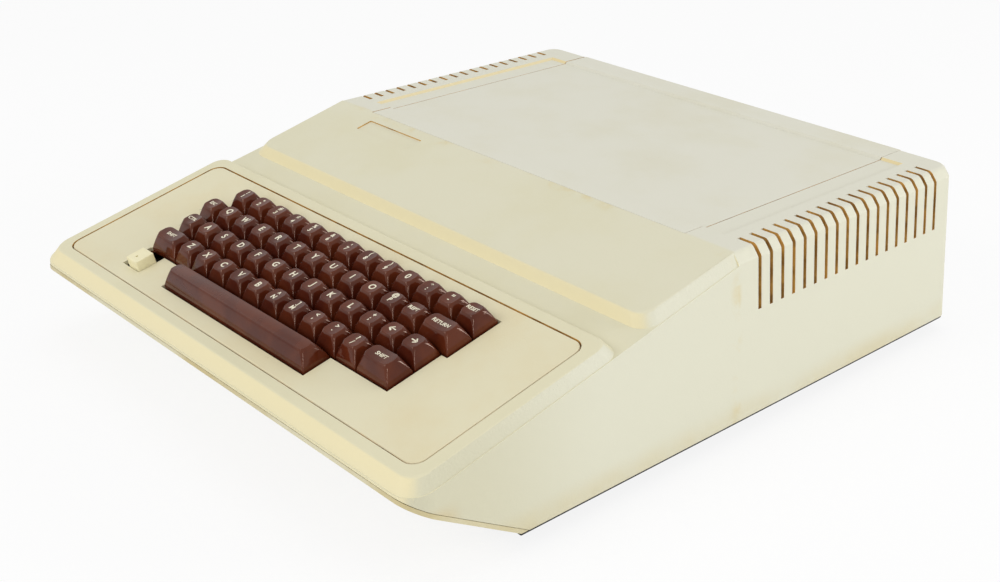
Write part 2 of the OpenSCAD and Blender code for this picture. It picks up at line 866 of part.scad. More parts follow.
// Chips of three sizes stand in rows across the board, as many as fit
small_l = 20;
small_w = 7;
small_pitch = 25;
rom_l = 32;
rom_pitch = 38;
large_w = 14;
processor_l = 52;
memory_pitch = 15;
logic_pitch = 13;
memory_x0 = main_x0 + 60;
memory_y0 = main_y0 + 12;
rom_y = memory_y0 + 2 * memory_pitch + small_w + large_w - 1;
processor_y = rom_y + large_w + 12;
slots_end = slot_x0 + (slot_n - 1) * slot_pitch + slot_w / 2;
function fitting(x, length, pitch) = floor((main_x1 - 2 - length / 2 - x) / pitch);
module processor() {
    translate([main_x0 + 24 + processor_l / 2, processor_y, main_z])
        chip(processor_l, large_w);
}
module rom_chips() {
    x0 = main_x0 + 12 + rom_l / 2;
    for (i = [0:fitting(x0, rom_l, rom_pitch) - 1])
        translate([x0 + i * rom_pitch, rom_y, main_z])
            chip(rom_l, large_w);
}
module memory_chips() {
    for (i = [0:fitting(memory_x0, small_l, small_pitch) - 1], j = [0:2]) {
        x = memory_x0 + i * small_pitch;
        translate([x, memory_y0 + j * memory_pitch, main_z])
            if (j > 0 || abs(x - ribbon_x) > ribbon_w / 2 + small_l / 2 + 1)
                chip(small_l, small_w);
    }
}
module logic_chips() {
    x0 = main_x0 + 58 + processor_l;
    for (i = [0:fitting(x0, small_l, small_pitch)])
        translate([x0 + i * small_pitch, processor_y, main_z])
            chip(small_l, small_w);
    columns = floor((main_x1 - slots_end - small_l) / small_pitch);
    for (i = [1:columns], j = [0:5])
        translate([main_x1 - 1 - i * small_pitch, processor_y + large_w + 4 + j * logic_pitch, main_z])
            chip(small_l, small_w);
}
module game_socket() {
    color([0.12, 0.12, 0.13])
        translate([main_x1 - 96, main_y1 - 17, main_z])
            difference() {
                box(-11, 11, -5, 5, 0, 5);
                box(-10, 10, -2, 2, 2, 6);
            }
}

jack_back = 6;
video_l = 9.5;
module video_jack() {
    translate([video_x, main_y1 - jack_back, jack_z]) {
        color(black)
            box(-7, 7, -14, 0, -7, 7);
        color(steel)
            rotate([-90, 0, 0])
                difference() {
                    cylinder(r = video_d / 2, h = video_l);
                    translate([0, 0, 1])
                        cylinder(r = 1.7, h = video_l);
                }
    }
}
module cassette_jacks() {
    color(black)
        for (x = cassette_x)
            translate([x, main_y1, jack_z])
                difference() {
                    union() {
                        box(-6, 6, -14, 0, -7, 6);
                        rotate([-90, 0, 0])
                            cylinder(r = 4, h = 3.5);
                    }
                    translate([0, -12, 0])
                        rotate([-90, 0, 0])
                            cylinder(r = cassette_d / 2, h = 20);
                }
}

// ---------------------------------------------------------------- power supply and speaker

psu_y1 = rear_y - wall - 0.3;
psu_y0 = psu_y1 - psu_l;
inlet_x = psu_window_x0 + 18;
inlet_z = psu_window_z0 + psu_window_h / 2;
rocker_x = psu_window_x0 + 46;
inlet_w = 28;
inlet_h = 21;
rocker_w = 13;
rocker_h = 20;
module power_supply() {
    t = psu_t;
    color(copper_gold)
        difference() {
            box(psu_x0, psu_x1, psu_y0, psu_y1, rim_z, rim_z + psu_h);
            box(psu_x0 + t, psu_x1 - t, psu_y0 + t, psu_y1 - t, rim_z + t, rim_z + psu_h - t);
            box(inlet_x - inlet_w / 2, inlet_x + inlet_w / 2, psu_y1 - 5, BIG,
                inlet_z - inlet_h / 2, inlet_z + inlet_h / 2);
            box(rocker_x - rocker_w / 2 - 0.5, rocker_x + rocker_w / 2 + 0.5, psu_y1 - 5, BIG,
                inlet_z - rocker_h / 2 - 1, inlet_z + rocker_h / 2 + 1);
            for (i = [0:9], j = [0:2])
                translate([psu_x1 - 5, psu_y0 + 60 + i * 12, rim_z + 18 + j * 12])
                    rotate([0, 90, 0])
                        cylinder(r = 3, h = 10, $fn = 24);
        }
    color(black)
        rocker_housing();
    color([0.25, 0.25, 0.27])
        box(psu_x0 + 14, psu_x1 - 14, psu_y0 + 40, psu_y0 + 96, rim_z + t / 2, rim_z + psu_h - 14);
    color([0.16, 0.2, 0.4])
        for (y = [130, 160])
            translate([psu_x0 + psu_w / 2, psu_y0 + y, rim_z + t / 2])
                cylinder(r = 12, h = psu_h - 20);
}

module mains_inlet() {
    y0 = psu_y1 - 22;
    color(black)
        translate([inlet_x, 0, inlet_z]) {
            difference() {
                union() {
                    box(-inlet_w / 2 + 0.3, inlet_w / 2 - 0.3, y0, psu_y1, -inlet_h / 2 + 0.3,
                        inlet_h / 2 - 0.3);
                    box(-inlet_w / 2 - 2, inlet_w / 2 + 2, psu_y1, psu_y1 + 2, -inlet_h / 2 - 2,
                        inlet_h / 2 + 2);
                }
                box(-inlet_w / 2 + 2, inlet_w / 2 - 2, y0 + 4, BIG, -inlet_h / 2 + 2.5,
                    inlet_h / 2 - 2.5);
            }
            for (p = [[-7, -2.5], [7, -2.5], [0, 2.5]])
                box(p[0] - 2, p[0] + 2, y0 + 3, psu_y1 - 3, p[1] - 1, p[1] + 1);
        }
}

// Housing of the mains switch, fixed behind the power supply's rear face
rocker_pin = 1.5;
rocker_back = 5;
housing_t = 1.5;
rocker_pivot = [rocker_x, psu_y1 - rocker_back, inlet_z];
module rocker_housing() {
    hx = rocker_w / 2 + 0.5;
    hz = rocker_h / 2 + 1;
    translate([rocker_x, psu_y1 - psu_t, inlet_z])
        difference() {
            box(-hx - housing_t, hx + housing_t, -14, psu_t / 2, -hz - housing_t, hz + housing_t);
            box(-hx, hx, -11, 1, -hz, hz);
            translate([0, psu_t - rocker_back, 0])
                rotate([0, 90, 0])
                    cylinder(r = rocker_pin + 0.3, h = BIG / 10, center = true, $fn = 24);
        }
}

// Rocker of the mains switch, at rest with its lower half out
rocker_tilt = 10;
module power_rocker() {
    color(black)
        translate(rocker_pivot)
            rotate([-rocker_tilt, 0, 0]) {
                side_prism([
                    [-3, 2 - rocker_h / 2], [5.2, 0.6 - rocker_h / 2], [3.6, 0],
                    [5.2, rocker_h / 2 - 0.6], [-3, rocker_h / 2 - 2],
                ], rocker_w);
                rotate([0, 90, 0])
                    cylinder(r = rocker_pin, h = rocker_w + 3, center = true, $fn = 24);
            }
}

// Wires from the power supply to the main board
harness_r = 3;
harness_bend = 9;
harness_y = main_y0 + 22;
harness_z = main_z + 20;
module power_harness() {
    x_end = main_x0 + 9;
    run = x_end - harness_bend - psu_x1;
    color([0.75, 0.72, 0.2])
        translate([psu_x1, harness_y, harness_z]) {
            rotate([0, 90, 0])
                cylinder(r = harness_r, h = run);
            translate([run, 0, -harness_bend])
                rotate([90, 0, 0])
                    rotate_extrude(angle = 90)
                        translate([harness_bend, 0])
                            circle(harness_r);
            translate([run + harness_bend, 0, -harness_z + main_z + 8])
                cylinder(r = harness_r, h = harness_z - main_z - 8 - harness_bend);
        }
    color([0.93, 0.93, 0.9])
        translate([x_end, harness_y, main_z])
            box(-5, 5, -12, 12, 0, 8);
}

// A straight round lead between two points
module lead(p, q, r) {
    d = q - p;
    translate(p)
        rotate([0, acos(d[2] / norm(d)), atan2(d[1], d[0])])
            cylinder(r = r, h = norm(d), $fn = 24);
}

speaker_r = 28;
speaker_x = psu_x0 + 61;
speaker_y = psu_y0 - speaker_r - 37.2;
lead_x = main_x0 + 12;
module speaker() {
    color([0.7, 0.12, 0.1])
        for (dx = [0, 3])
            lead([speaker_x + 12 + dx, speaker_y + 8, rim_z + 18],
                 [lead_x + dx, main_y0 + 5, main_z + 4], 0.9);
    color([0.93, 0.93, 0.9])
        translate([lead_x + 1.5, main_y0 + 5, main_z])
            box(-4, 4, -3, 3, 0, 7);
    color([0.3, 0.3, 0.32])
        translate([speaker_x, speaker_y, rim_z]) {
            difference() {
                cylinder(r = speaker_r, h = 4);
                translate([0, 0, -1])
                    cylinder(r = speaker_r - 4, h = 3);
            }
            translate([0, 0, 4])
                cylinder(r1 = speaker_r - 3, r2 = 14, h = 9);
            translate([0, 0, 13])
                cylinder(r = 16, h = 9);
        }
}

// Grip pads under the lid's rear corners, pressed against the rails' inner faces
pad_gap = 0.3;
module lid_fasteners() {
    x1 = lid_w / 2 - rail_w - pad_gap;
    color([0.2, 0.2, 0.21])
        for (sx = [-1, 1])
            translate([sx * (x1 - 4), rear_y - 42, 0]) {
                box(-4, 4, 0, 26, lid_low - rail_t - 4, lid_low);
                box(-2.5, 2.5, 4, 22, lid_low - rail_t - 7, lid_low - rail_t - 4);
            }
}

// Pan-head screws: base pan, chin panel and keyboard plate
module screw(l) {
    translate([0, 0, -2])
        cylinder(r = 3.6, h = 2);
    cylinder(r = screw_r, h = l);
}
module case_screws() {
    color(steel) {
        for (sx = [-1, 1], y = boss_y)
            translate([sx * boss_x, y, foot_h])
                screw(14);
        for (x = chin_boss_x)
            on_chin(x)
                screw(12);
        deck()
            for (p = panel_posts)
                translate([p[0], p[1], -plate_drop - plate_t])
                    screw(9);
    }
}

// ---------------------------------------------------------------- nodes

case_shell();
lid();
base_pan();
chin_panel();
rubber_feet();
keyboard_panel();
power_lamp();
keyboard_plate();
key_switches();
keyboard_board();
keyboard_ribbon();
main_board();
board_standoffs();
expansion_slots();
processor();
rom_chips();
memory_chips();
logic_chips();
game_socket();
power_supply();
power_rocker();
mains_inlet();
power_harness();
video_jack();
cassette_jacks();
speaker();
lid_fasteners();
case_screws();
keys(NUMBER_KEYS);  // number_keys
keys(LOWER_KEYS);  // lower_keys
keys([SPACE]);  // space_bar
for (k = SINGLE_KEYS)
    keys([k]);
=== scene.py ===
# %% [markdown]
# # A wedge-shaped home computer
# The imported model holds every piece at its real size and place. This lesson dresses it: the
# moulded case, the lid, the panel and the 52 keys are modelled again with the rounded edges and
# dished tops that a mould gives them, and every other piece keeps its mesh and gets a finish.

# %% Load the fixed frame
import math

import bmesh
import bpy
from mathutils import Matrix, Vector


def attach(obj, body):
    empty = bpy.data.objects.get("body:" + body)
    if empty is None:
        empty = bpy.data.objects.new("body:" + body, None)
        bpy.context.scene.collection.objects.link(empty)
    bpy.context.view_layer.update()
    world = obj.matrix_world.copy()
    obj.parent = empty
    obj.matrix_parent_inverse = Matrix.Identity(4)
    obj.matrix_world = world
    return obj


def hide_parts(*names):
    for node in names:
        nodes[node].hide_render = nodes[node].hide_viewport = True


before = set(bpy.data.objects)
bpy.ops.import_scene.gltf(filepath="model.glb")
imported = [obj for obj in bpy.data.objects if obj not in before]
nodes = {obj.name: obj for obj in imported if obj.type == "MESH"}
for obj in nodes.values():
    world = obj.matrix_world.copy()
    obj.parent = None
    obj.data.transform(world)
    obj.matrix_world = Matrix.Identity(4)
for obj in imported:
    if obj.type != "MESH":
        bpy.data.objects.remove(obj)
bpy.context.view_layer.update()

MM = 0.001
print("nodes loaded:", len(nodes))

# %% [markdown]
# ## Driving sizes
# The case is a wedge: a flat top at the back, then a front that slopes at 13 degrees and carries
# the keyboard deck. Its sizes could be typed again for every piece. A few driving sizes in
# millimetres, with the table as zero height, keep the pieces fitting each other instead.

# %% Sizes of the case
case_w, case_d, case_h = 402, 457, 114.3
rim_z = 11
rear_y, nose_y = case_d / 2, -case_d / 2
flat_d = 216.6
crease_y = rear_y - flat_d
tilt = math.radians(13)
draft = math.radians(5.4)
chin = math.radians(30.3)
chin_y = rear_y - 389.5
wall, top_t = 3, 4.5
chin_t, seam = 2.4, 0.3
nose_z = rim_z + (chin_y - nose_y) * math.tan(chin)
nose_top = nose_z + 4.4
cham_h, cham_w = 6.1, 4.9
ledge = 0.3
edge_end = case_h - cham_h - 1


def half_w(z):
    """Half the width between the leaning side walls, at a height."""
    return case_w / 2 - (z - rim_z) * math.tan(draft)


def edge_z(y):
    """Height of the walls' upper edge, in front of the crease."""
    return nose_top + (y - nose_y) * (edge_end - nose_top) / (crease_y - nose_y)


def on_slope(x, s, n):
    """A point given across, along and out of the sloping front, in millimetres."""
    return Vector((x, crease_y + s * math.cos(tilt) - n * math.sin(tilt),
                   case_h + s * math.sin(tilt) + n * math.cos(tilt)))


out_of_deck = Vector((0, -math.sin(tilt), math.cos(tilt)))
top_half = half_w(case_h - cham_h) - cham_w
deck_rise, deck_w, deck_l, deck_gap = 2.75, 381.8, 135.8, 104.2
deck_front = -deck_gap - deck_l
slope_front = -74.2
print("nose top", round(nose_top, 1), "half width of the top", round(top_half, 1))

# %% [markdown]
# ## Modelling helpers
# A modeller selects something, then runs a tool on it. In a script the selection is made in
# code, by the place and the direction of each face, edge or point, so that it stays right when
# a size changes. Everything is deselected first, because loading leaves the model selected.


# %% Selecting and shaping
def let_go():
    """Leaves edit mode and deselects every object."""
    if bpy.context.object and bpy.context.object.mode == "EDIT":
        bpy.ops.object.mode_set(mode="OBJECT")
    bpy.ops.object.select_all(action="DESELECT")


def hold(piece):
    """Makes a piece the only selected and active object."""
    let_go()
    bpy.context.view_layer.objects.active = piece
    piece.select_set(True)
    return piece


def edit(piece):
    """Opens a piece in edit mode with nothing selected."""
    hold(piece)
    bpy.ops.object.mode_set(mode="EDIT")
    bpy.ops.mesh.select_all(action="DESELECT")


def where(item):
    """The middle of a point, edge or face in millimetres, and its direction."""
    if isinstance(item, bmesh.types.BMVert):
        return item.co / MM, item.normal
    if isinstance(item, bmesh.types.BMEdge):
        a, b = (v.co for v in item.verts)
        return (a + b) / 2 / MM, (b - a).normalized()
    return item.calc_center_median() / MM, item.normal


def pick(kind, test):
    """Selects the verts, edges or faces whose middle and direction pass a test."""
    mode = {"verts": "VERT", "edges": "EDGE", "faces": "FACE"}[kind]
    bpy.ops.mesh.select_mode(type=mode)
    bpy.ops.mesh.select_all(action="DESELECT")
    mesh = bmesh.from_edit_mesh(bpy.context.object.data)
    for item in getattr(mesh, kind):
        if test(*where(item)):
            item.select_set(True)
    mesh.select_flush_mode()
    bmesh.update_edit_mesh(bpy.context.object.data)


def move(x=0, y=0, z=0):
    bpy.ops.transform.translate(value=(x * MM, y * MM, z * MM))


def resize(x, y, z, centre=(0, 0, 0)):
    bpy.ops.transform.resize(value=(x, y, z), center_override=Vector(centre) * MM)


def bevel(width, steps):
    bpy.ops.mesh.bevel(offset=width * MM, segments=steps, affect="EDGES")


def cut(point, normal, clear=False):
    """Slices what is selected with a plane, and clears what lies in front of it if asked."""
    bpy.ops.mesh.bisect(plane_co=Vector(point) * MM, plane_no=normal, use_fill=clear,
                        clear_outer=clear)


def block(name, low, high):
    """A cube primitive between two corners, in millimetres."""
    low, high = Vector(low), Vector(high)
    let_go()
    bpy.ops.mesh.primitive_cube_add(size=1, location=(low + high) / 2 * MM,
                                    scale=(high - low) * MM)
    bpy.ops.object.transform_apply(location=True, rotation=True, scale=True)
    bpy.context.object.name = name
    return bpy.context.object


def join(pieces):
    """Joins pieces into the first one."""
    hold(pieces[0])
    for piece in pieces:
        piece.select_set(True)
    bpy.ops.object.join()
    return bpy.context.object


def combine(piece, other, operation="DIFFERENCE"):
    """Applies a boolean modifier, and removes the other piece."""
    hold(piece)
    modifier = piece.modifiers.new(operation, "BOOLEAN")
    modifier.object, modifier.operation, modifier.solver = other, operation, "EXACT"
    bpy.ops.object.modifier_apply(modifier=modifier.name)
    bpy.data.objects.remove(other)
    return piece


def smooth(piece, degrees=35):
    """Rounds the shading of shallow edges, and keeps flat faces flat beside small bevels."""
    hold(piece)
    bpy.ops.object.shade_smooth_by_angle(angle=math.radians(degrees))
    modifier = piece.modifiers.new("flat faces", "WEIGHTED_NORMAL")
    modifier.keep_sharp = True
    bpy.ops.object.modifier_apply(modifier=modifier.name)
    return piece


def report(piece):
    print(piece.name, "faces:", len(piece.data.polygons))


# %% [markdown]
# ## Rounded rings
# The deck and the sloping front stand on the walls as low blocks with slanting sides. Each is
# a loft between two rounded outlines: one on the walls' upper edge and one on the sloping face.
# Bridging two circles can twist by a point, so a grid is bent to the outlines instead, one row
# to each, its ends are merged and its holes filled. That gives smooth, untwisted sides.

# %% A loft between rounded outlines
CORNER_STEPS = 8


def outline(half, y0, y1, r0, r1):
    """Points of a rounded rectangle, front right corner first; half is a width or a rule."""
    rule = half if callable(half) else lambda y: half
    points = []
    corners = ((1, y0, r0, 270), (1, y1, r1, 0), (-1, y1, r1, 90), (-1, y0, r0, 180))
    for side, y, r, turn in corners:
        middle = y + r if y == y0 else y - r
        for i in range(CORNER_STEPS + 1):
            a = math.radians(turn + 90 * i / CORNER_STEPS)
            depth = middle + r * math.sin(a)
            points.append((side * (rule(depth) - r) + r * math.cos(a), depth))
    return points


def loft(name, rings):
    """Bends a grid to rings of points, one row to each, and closes it into a solid."""
    let_go()
    bpy.ops.mesh.primitive_grid_add(x_subdivisions=len(rings[0]), y_subdivisions=len(rings) - 1)
    piece = bpy.context.object
    row = len(rings[0]) + 1
    for i, vertex in enumerate(piece.data.vertices):
        ring = rings[i // row]
        vertex.co = Vector(ring[i % row % len(ring)]) * MM
    edit(piece)
    bpy.ops.mesh.select_all(action="SELECT")
    bpy.ops.mesh.remove_doubles(threshold=0.001 * MM)
    bpy.ops.mesh.fill_holes(sides=0)
    bpy.ops.mesh.select_all(action="SELECT")
    bpy.ops.mesh.normals_make_consistent(inside=False)
    let_go()
    piece.name = name
    return piece


# %% [markdown]
# ## The moulded case
# On the real machine the case is one injection moulding with leaning walls. It could be one
# lofted skin, but its outline changes from flat top to groove to deck. So it is built as it
# looks: a leaning block with chamfered top edges, cut down in front of the crease, with the
# sloping front and the keyboard deck standing on it. A smaller copy of the same block is then
# taken out of the inside, which leaves the walls.

# %% The leaning block
nose_r, corner_r = 15, 8


def leaning_block(name, inset=0, top=case_h, drop=0):
    """The case's block, or a smaller one inside it, to be cut down in front of the crease."""
    low = rim_z if inset == 0 else rim_z - 30
    shoulder = case_h - cham_h - drop
    piece = block(name, (-half_w(low) + inset, nose_y + inset, low),
                  (half_w(low) - inset, rear_y - inset, shoulder))
    edit(piece)
    pick("faces", lambda p, d: d.z > 0.9)
    resize((half_w(shoulder) - inset) / (half_w(low) - inset), 1, 1)
    bpy.ops.mesh.extrude_region_move(
        TRANSFORM_OT_translate={"value": (0, 0, (top - shoulder) * MM)})
    resize((top_half - inset) / (half_w(shoulder) - inset), 1, 1)
    pick("edges", lambda p, d: abs(d.z) > 0.7 and p.y > 0)
    bevel(corner_r - inset, 8)
    pick("edges", lambda p, d: abs(d.z) > 0.7 and p.y < nose_y + inset + 1)
    bevel(nose_r - inset, 10)
    if inset == 0:
        pick("edges", lambda p, d: p.z > case_h - 0.1 and p.y > nose_y + nose_r + 5)
        bevel(2, 4)
        pick("edges", lambda p, d: abs(p.z - shoulder) < 0.2 and abs(d.y) > 0.99)
        bevel(1, 3)
    let_go()
    return piece


def front_cutter(drop=0):
    """What lies above the walls' upper edge, in front of the crease."""
    piece = block("cutter", (-300, nose_y - 40, 0), (300, crease_y, 200))
    edit(piece)
    pick("faces", lambda p, d: d.z < -0.9)
    move(z=edge_z(nose_y - 40) - drop)
    pick("verts", lambda p, d: p.z < 150 and p.y > nose_y)
    move(z=edge_z(crease_y) - edge_z(nose_y - 40))
    let_go()
    return piece


case = combine(leaning_block("case_moulding"), front_cutter())
edit(case)
bpy.ops.mesh.select_all(action="SELECT")
lift = (chin_t + seam) / math.cos(chin)
cut((0, chin_y, rim_z + lift), (0, -math.sin(chin), -math.cos(chin)), clear=True)
let_go()
report(case)

# %% [markdown]
# ## Sloping front and keyboard deck
# Both stand 0.3 mm in from the walls' edge, so that a fine bright line of the wall shows, as
# on the real machine. Their upper rims are rounded with a bevel, and the deck's rear corners
# are tighter than its front ones.

# %% Two raised blocks
low_rear = on_slope(0, -deck_gap, deck_rise).y + 7.3
low_front = on_slope(0, slope_front, 0).y - 4.2


def raised(name, low, high, rim, width):
    """A block between the walls' edge and the slope, with its upper rim rounded."""
    y0, y1, r0, r1 = low
    base = [(x, y, edge_z(y) - 0.5) for x, y in outline(
        lambda y: half_w(edge_z(y)) - ledge, y0, y1, r0, r1)]
    half, s0, s1, n, r0, r1 = high
    top = [on_slope(x, s, n) for x, s in outline(half, s0, s1, r0, r1)]
    piece = loft(name, [base, top])
    edit(piece)
    pick("edges", lambda p, d: abs((p - on_slope(0, 0, n)) @ out_of_deck) < 0.05 and rim(p))
    bevel(width, 4)
    let_go()
    return piece


slope = raised("sloping_front", (low_front, crease_y + 6, 12, 0.4),
               (top_half, slope_front, 6, 0, 11, 0.4), lambda p: p.y < crease_y - 1, 1.4)
edit(slope)
for point, normal in (((0, crease_y + 0.3, 0), (0, 1, 0)), ((0, 0, case_h - 0.01), (0, 0, 1))):
    bpy.ops.mesh.select_all(action="SELECT")
    cut(point, normal, clear=True)
let_go()
deck = raised("keyboard_deck", (nose_y + ledge, low_rear, nose_r - ledge, 10),
              (deck_w / 2, deck_front, -deck_gap, deck_rise, 12, 9), lambda p: True, 1.2)
combine(case, slope, "UNION")
combine(case, deck, "UNION")
report(case)

# %% [markdown]
# ## The hollow inside and the openings
# The walls are 3 mm thick. The inside is the same block drawn in by a wall, and two flat
# pockets under the raised faces. Then come the openings that a mould or a milling cutter would
# leave: the lid's place, the sunken field, the vent slots, the windows in the rear wall, the
# shallow badge recess and the step that carries the keyboard panel. The mouth under the lid is
# cut a hair wider than the hollow, so that no film stays where two cuts meet in one plane.


# %% Blocks that stand on the slope
def slope_block(name, low, high, rise=0, corner=0):
    """A block given along the slope, with rounded upright corners if asked."""
    piece = block(name, low, high)
    if corner:
        edit(piece)
        pick("edges", lambda p, d: abs(d.z) > 0.9)
        bevel(corner, 6)
        let_go()
    turn = Matrix.Rotation(tilt, 4, "X")
    piece.data.transform(Matrix.Translation(on_slope(0, 0, rise) * MM) @ turn)
    return piece


# %% The walls
rail_w, rail_t = 7, 3
lid_w, lid_gap = 300.4, 0.5
lid_low = case_h - top_t
rim_t = 5.5
inner = combine(leaning_block("inner", wall, case_h - top_t, top_t - wall), front_cutter(wall))
combine(inner, slope_block("pocket", (-deck_w / 2 + wall, deck_front + wall, -60),
                           (deck_w / 2 - wall, -deck_gap - wall, deck_rise - rim_t)), "UNION")
combine(inner, slope_block("pocket", (-top_half + wall, slope_front + wall, -60),
                           (top_half - wall, 1 - rail_w, -wall)), "UNION")
combine(case, inner)
for side in (-1, 1):
    rail = block("rail", (side * lid_w / 2 - rail_w, crease_y, lid_low - rail_t),
                 (side * lid_w / 2 + rail_w, rear_y - wall + 1, lid_low + 1))
    combine(case, rail, "UNION")
shelf = block("shelf", (-lid_w / 2 - rail_w + 1, crease_y - rail_w, lid_low - rail_t),
              (lid_w / 2 + rail_w - 1, crease_y + rail_w, lid_low + 1))
combine(case, shelf, "UNION")
report(case)

# %% Lid place, sunken field and badge recess
field_w, field_depth = 333.2, 1.6
field_y0, field_y1 = crease_y + 16.4, rear_y - 21.8
skin = 0.05


def field_cutter():
    """The sunken field, with sides that lean out at 45 degrees."""
    reach = 4
    piece = block("field",
                  (-field_w / 2 + field_depth, field_y0 + field_depth, case_h - field_depth),
                  (field_w / 2 - field_depth, field_y1 - field_depth, case_h + reach))
    edit(piece)
    pick("faces", lambda p, d: d.z > 0.9)
    resize((field_w + 2 * reach) / (field_w - 2 * field_depth),
           (field_y1 - field_y0 + 2 * reach) / (field_y1 - field_y0 - 2 * field_depth), 1,
           (0, (field_y0 + field_y1) / 2, 0))
    let_go()
    return piece


combine(case, block("lid_place", (-lid_w / 2 - lid_gap / 2, crease_y, lid_low),
                    (lid_w / 2 + lid_gap / 2, rear_y + 5, case_h + 5)))
combine(case, block("mouth",
                    (-lid_w / 2 + rail_w - skin, crease_y + rail_w - skin, lid_low - rail_t - 1),
                    (lid_w / 2 - rail_w + skin, rear_y - wall + skin, case_h)))
combine(case, field_cutter())
badge_w, badge_l, badge_depth, badge_x, badge_gap = 58, 13, 0.8, -111.2, 9
combine(case, slope_block("badge_recess",
                          (badge_x - badge_w / 2, -badge_gap - badge_l, -badge_depth),
                          (badge_x + badge_w / 2, -badge_gap, 3), 0, 1))

# %% The panel's step
panel_w, panel_l, panel_t, panel_gap, panel_r = 364.6, 120, 3, 0.5, 8
ledge_w = 4
panel_y1 = -deck_gap - 8.2
panel_y0 = panel_y1 - panel_l
combine(case, slope_block("panel_place",
                          (-panel_w / 2 - panel_gap, panel_y0 - panel_gap, -panel_t),
                          (panel_w / 2 + panel_gap, panel_y1 + panel_gap, 30), deck_rise,
                          panel_r + panel_gap))
combine(case, slope_block("panel_window", (-panel_w / 2 + ledge_w, panel_y0 + ledge_w, -30),
                          (panel_w / 2 - ledge_w, panel_y1 - ledge_w, 5), deck_rise, panel_r))
report(case)

# %% [markdown]
# ## Vent slots
# Eighteen slots run over each side edge, from the top face down the side wall. One thin block
# is copied along the case by an array, mirrored to the other side and taken out in one step.

# %% Slots and rear windows
vent_n, vent_pitch, vent_w, vent_z = 18, 10.39, 2.8, 76
vent_x = half_w(case_h) - 15.8
vent_y0 = crease_y + 18.5
slots = block("slots", (vent_x, vent_y0 - vent_w / 2, vent_z),
              (260, vent_y0 + vent_w / 2, case_h + 5))
array = slots.modifiers.new("row", "ARRAY")
array.count = vent_n
array.use_relative_offset, array.use_constant_offset = False, True
array.constant_offset_displace = (0, vent_pitch * MM, 0)
mirror = slots.modifiers.new("both sides", "MIRROR")
for modifier in (array, mirror):
    bpy.ops.object.modifier_apply(modifier=modifier.name)
combine(case, slots)

board_top = rim_z + 8 + 1.6
inside_y, outside_y = rear_y - 6, 300
notch_w, notch_z0, notch_z1 = 14, 46, lid_low - rail_t - 8
for x in (-62, -22, 18, 58):
    combine(case, block("notch", (x - notch_w / 2, inside_y, notch_z0),
                        (x + notch_w / 2, outside_y, notch_z1)))
combine(case, block("supply_window", (-173, inside_y, rim_z + 13), (-113, outside_y, rim_z + 49)))
combine(case, block("jack_window", (103, inside_y, board_top - 0.5),
                    (169, outside_y, board_top + 15)))
report(case)

# %% [markdown]
# ## Lid and keyboard panel
# The lid is a loose plate: a cube whose middle is set lower, so that it carries its share of
# the sunken field, with its edges broken by a small bevel and ribs below. The panel is a plate
# with round corners, a soft upper rim and a cutout in steps that follows the rows of keys.

# %% Lid
lid = block("lid_cover", (-lid_w / 2 + lid_gap / 2, crease_y + lid_gap, lid_low),
            (lid_w / 2 - lid_gap / 2, rear_y, case_h))
edit(lid)
pick("edges", lambda p, d: p.z > lid_low + 0.1 and abs(d.z) < 0.5)
bevel(0.35, 2)
let_go()
combine(lid, field_cutter())
rib_w, rib_drop = 2.5, 4
for x in (-100, -33, 33, 100):
    rib = block("rib", (x - rib_w / 2, crease_y + 30, lid_low - rib_drop),
                (x + rib_w / 2, rear_y - 20, lid_low + 1))
    combine(lid, rib, "UNION")
middle_y = (crease_y + rear_y) / 2
combine(lid, block("rib", (-100, middle_y, lid_low - rib_drop),
                   (100, middle_y + rib_w, lid_low + 1)), "UNION")
report(lid)

# %% Places of the keys
key_pitch, key_gap, key_rise, key_skirt = 19.05, 1, 11, 2.5
key_left = -13.5 / 2 * key_pitch - 1.66
row0 = -deck_gap - 21.1 - key_pitch / 2
space_u, space_units = 2.7, 7.9


def row_s(row):
    return row0 - row * key_pitch


def col_x(units):
    return key_left + units * key_pitch


# %% Keyboard panel
cut_gap = 1
lamp_cut_w = 20.2
lamp_left = col_x(0.25) - 2.1
play = 0.25
panel = slope_block("keyboard_deck_panel", (-panel_w / 2 + play, panel_y0 + play, -panel_t),
                    (panel_w / 2 - play, panel_y1 - play, 0), deck_rise, panel_r)


def height_on_deck(p):
    """How far a point stands above the deck's face."""
    return (p - on_slope(0, 0, deck_rise)) @ out_of_deck


edit(panel)
pick("edges", lambda p, d: abs(height_on_deck(p)) < 0.05)
bevel(0.9, 3)
let_go()
KEY_ROWS = ((0, 0.5, 13.5), (1, 0, 13.5), (2, 0.25, 13.25), (3, 0.25, 13.25),
            (4, space_u, space_u + space_units))
for row, u0, u1 in KEY_ROWS:
    back = row_s(row) + key_pitch / 2 + cut_gap
    front = row_s(row) - key_pitch / 2 - cut_gap
    combine(panel, slope_block("row", (col_x(u0) - cut_gap, front, -10),
                               (col_x(u1) + cut_gap, back, 10), deck_rise))
lamp_front = row_s(4) - key_pitch / 2 - cut_gap
combine(panel, slope_block("lamp_place", (lamp_left, lamp_front, -10),
                           (lamp_left + lamp_cut_w, lamp_front + key_pitch + cut_gap + 1, 10),
                           deck_rise))
post_r, post_l = 4, 12
for x in (-152, 152):
    for s in (panel_y1 - ledge_w - 5, panel_y0 + ledge_w + 5):
        bpy.ops.mesh.primitive_cylinder_add(vertices=32, radius=post_r * MM, depth=post_l * MM)
        post = bpy.context.object
        post.data.transform(Matrix.Translation(on_slope(x, s, deck_rise - post_l / 2 - 1) * MM)
                            @ Matrix.Rotation(tilt, 4, "X"))
        combine(panel, post, "UNION")
report(panel)
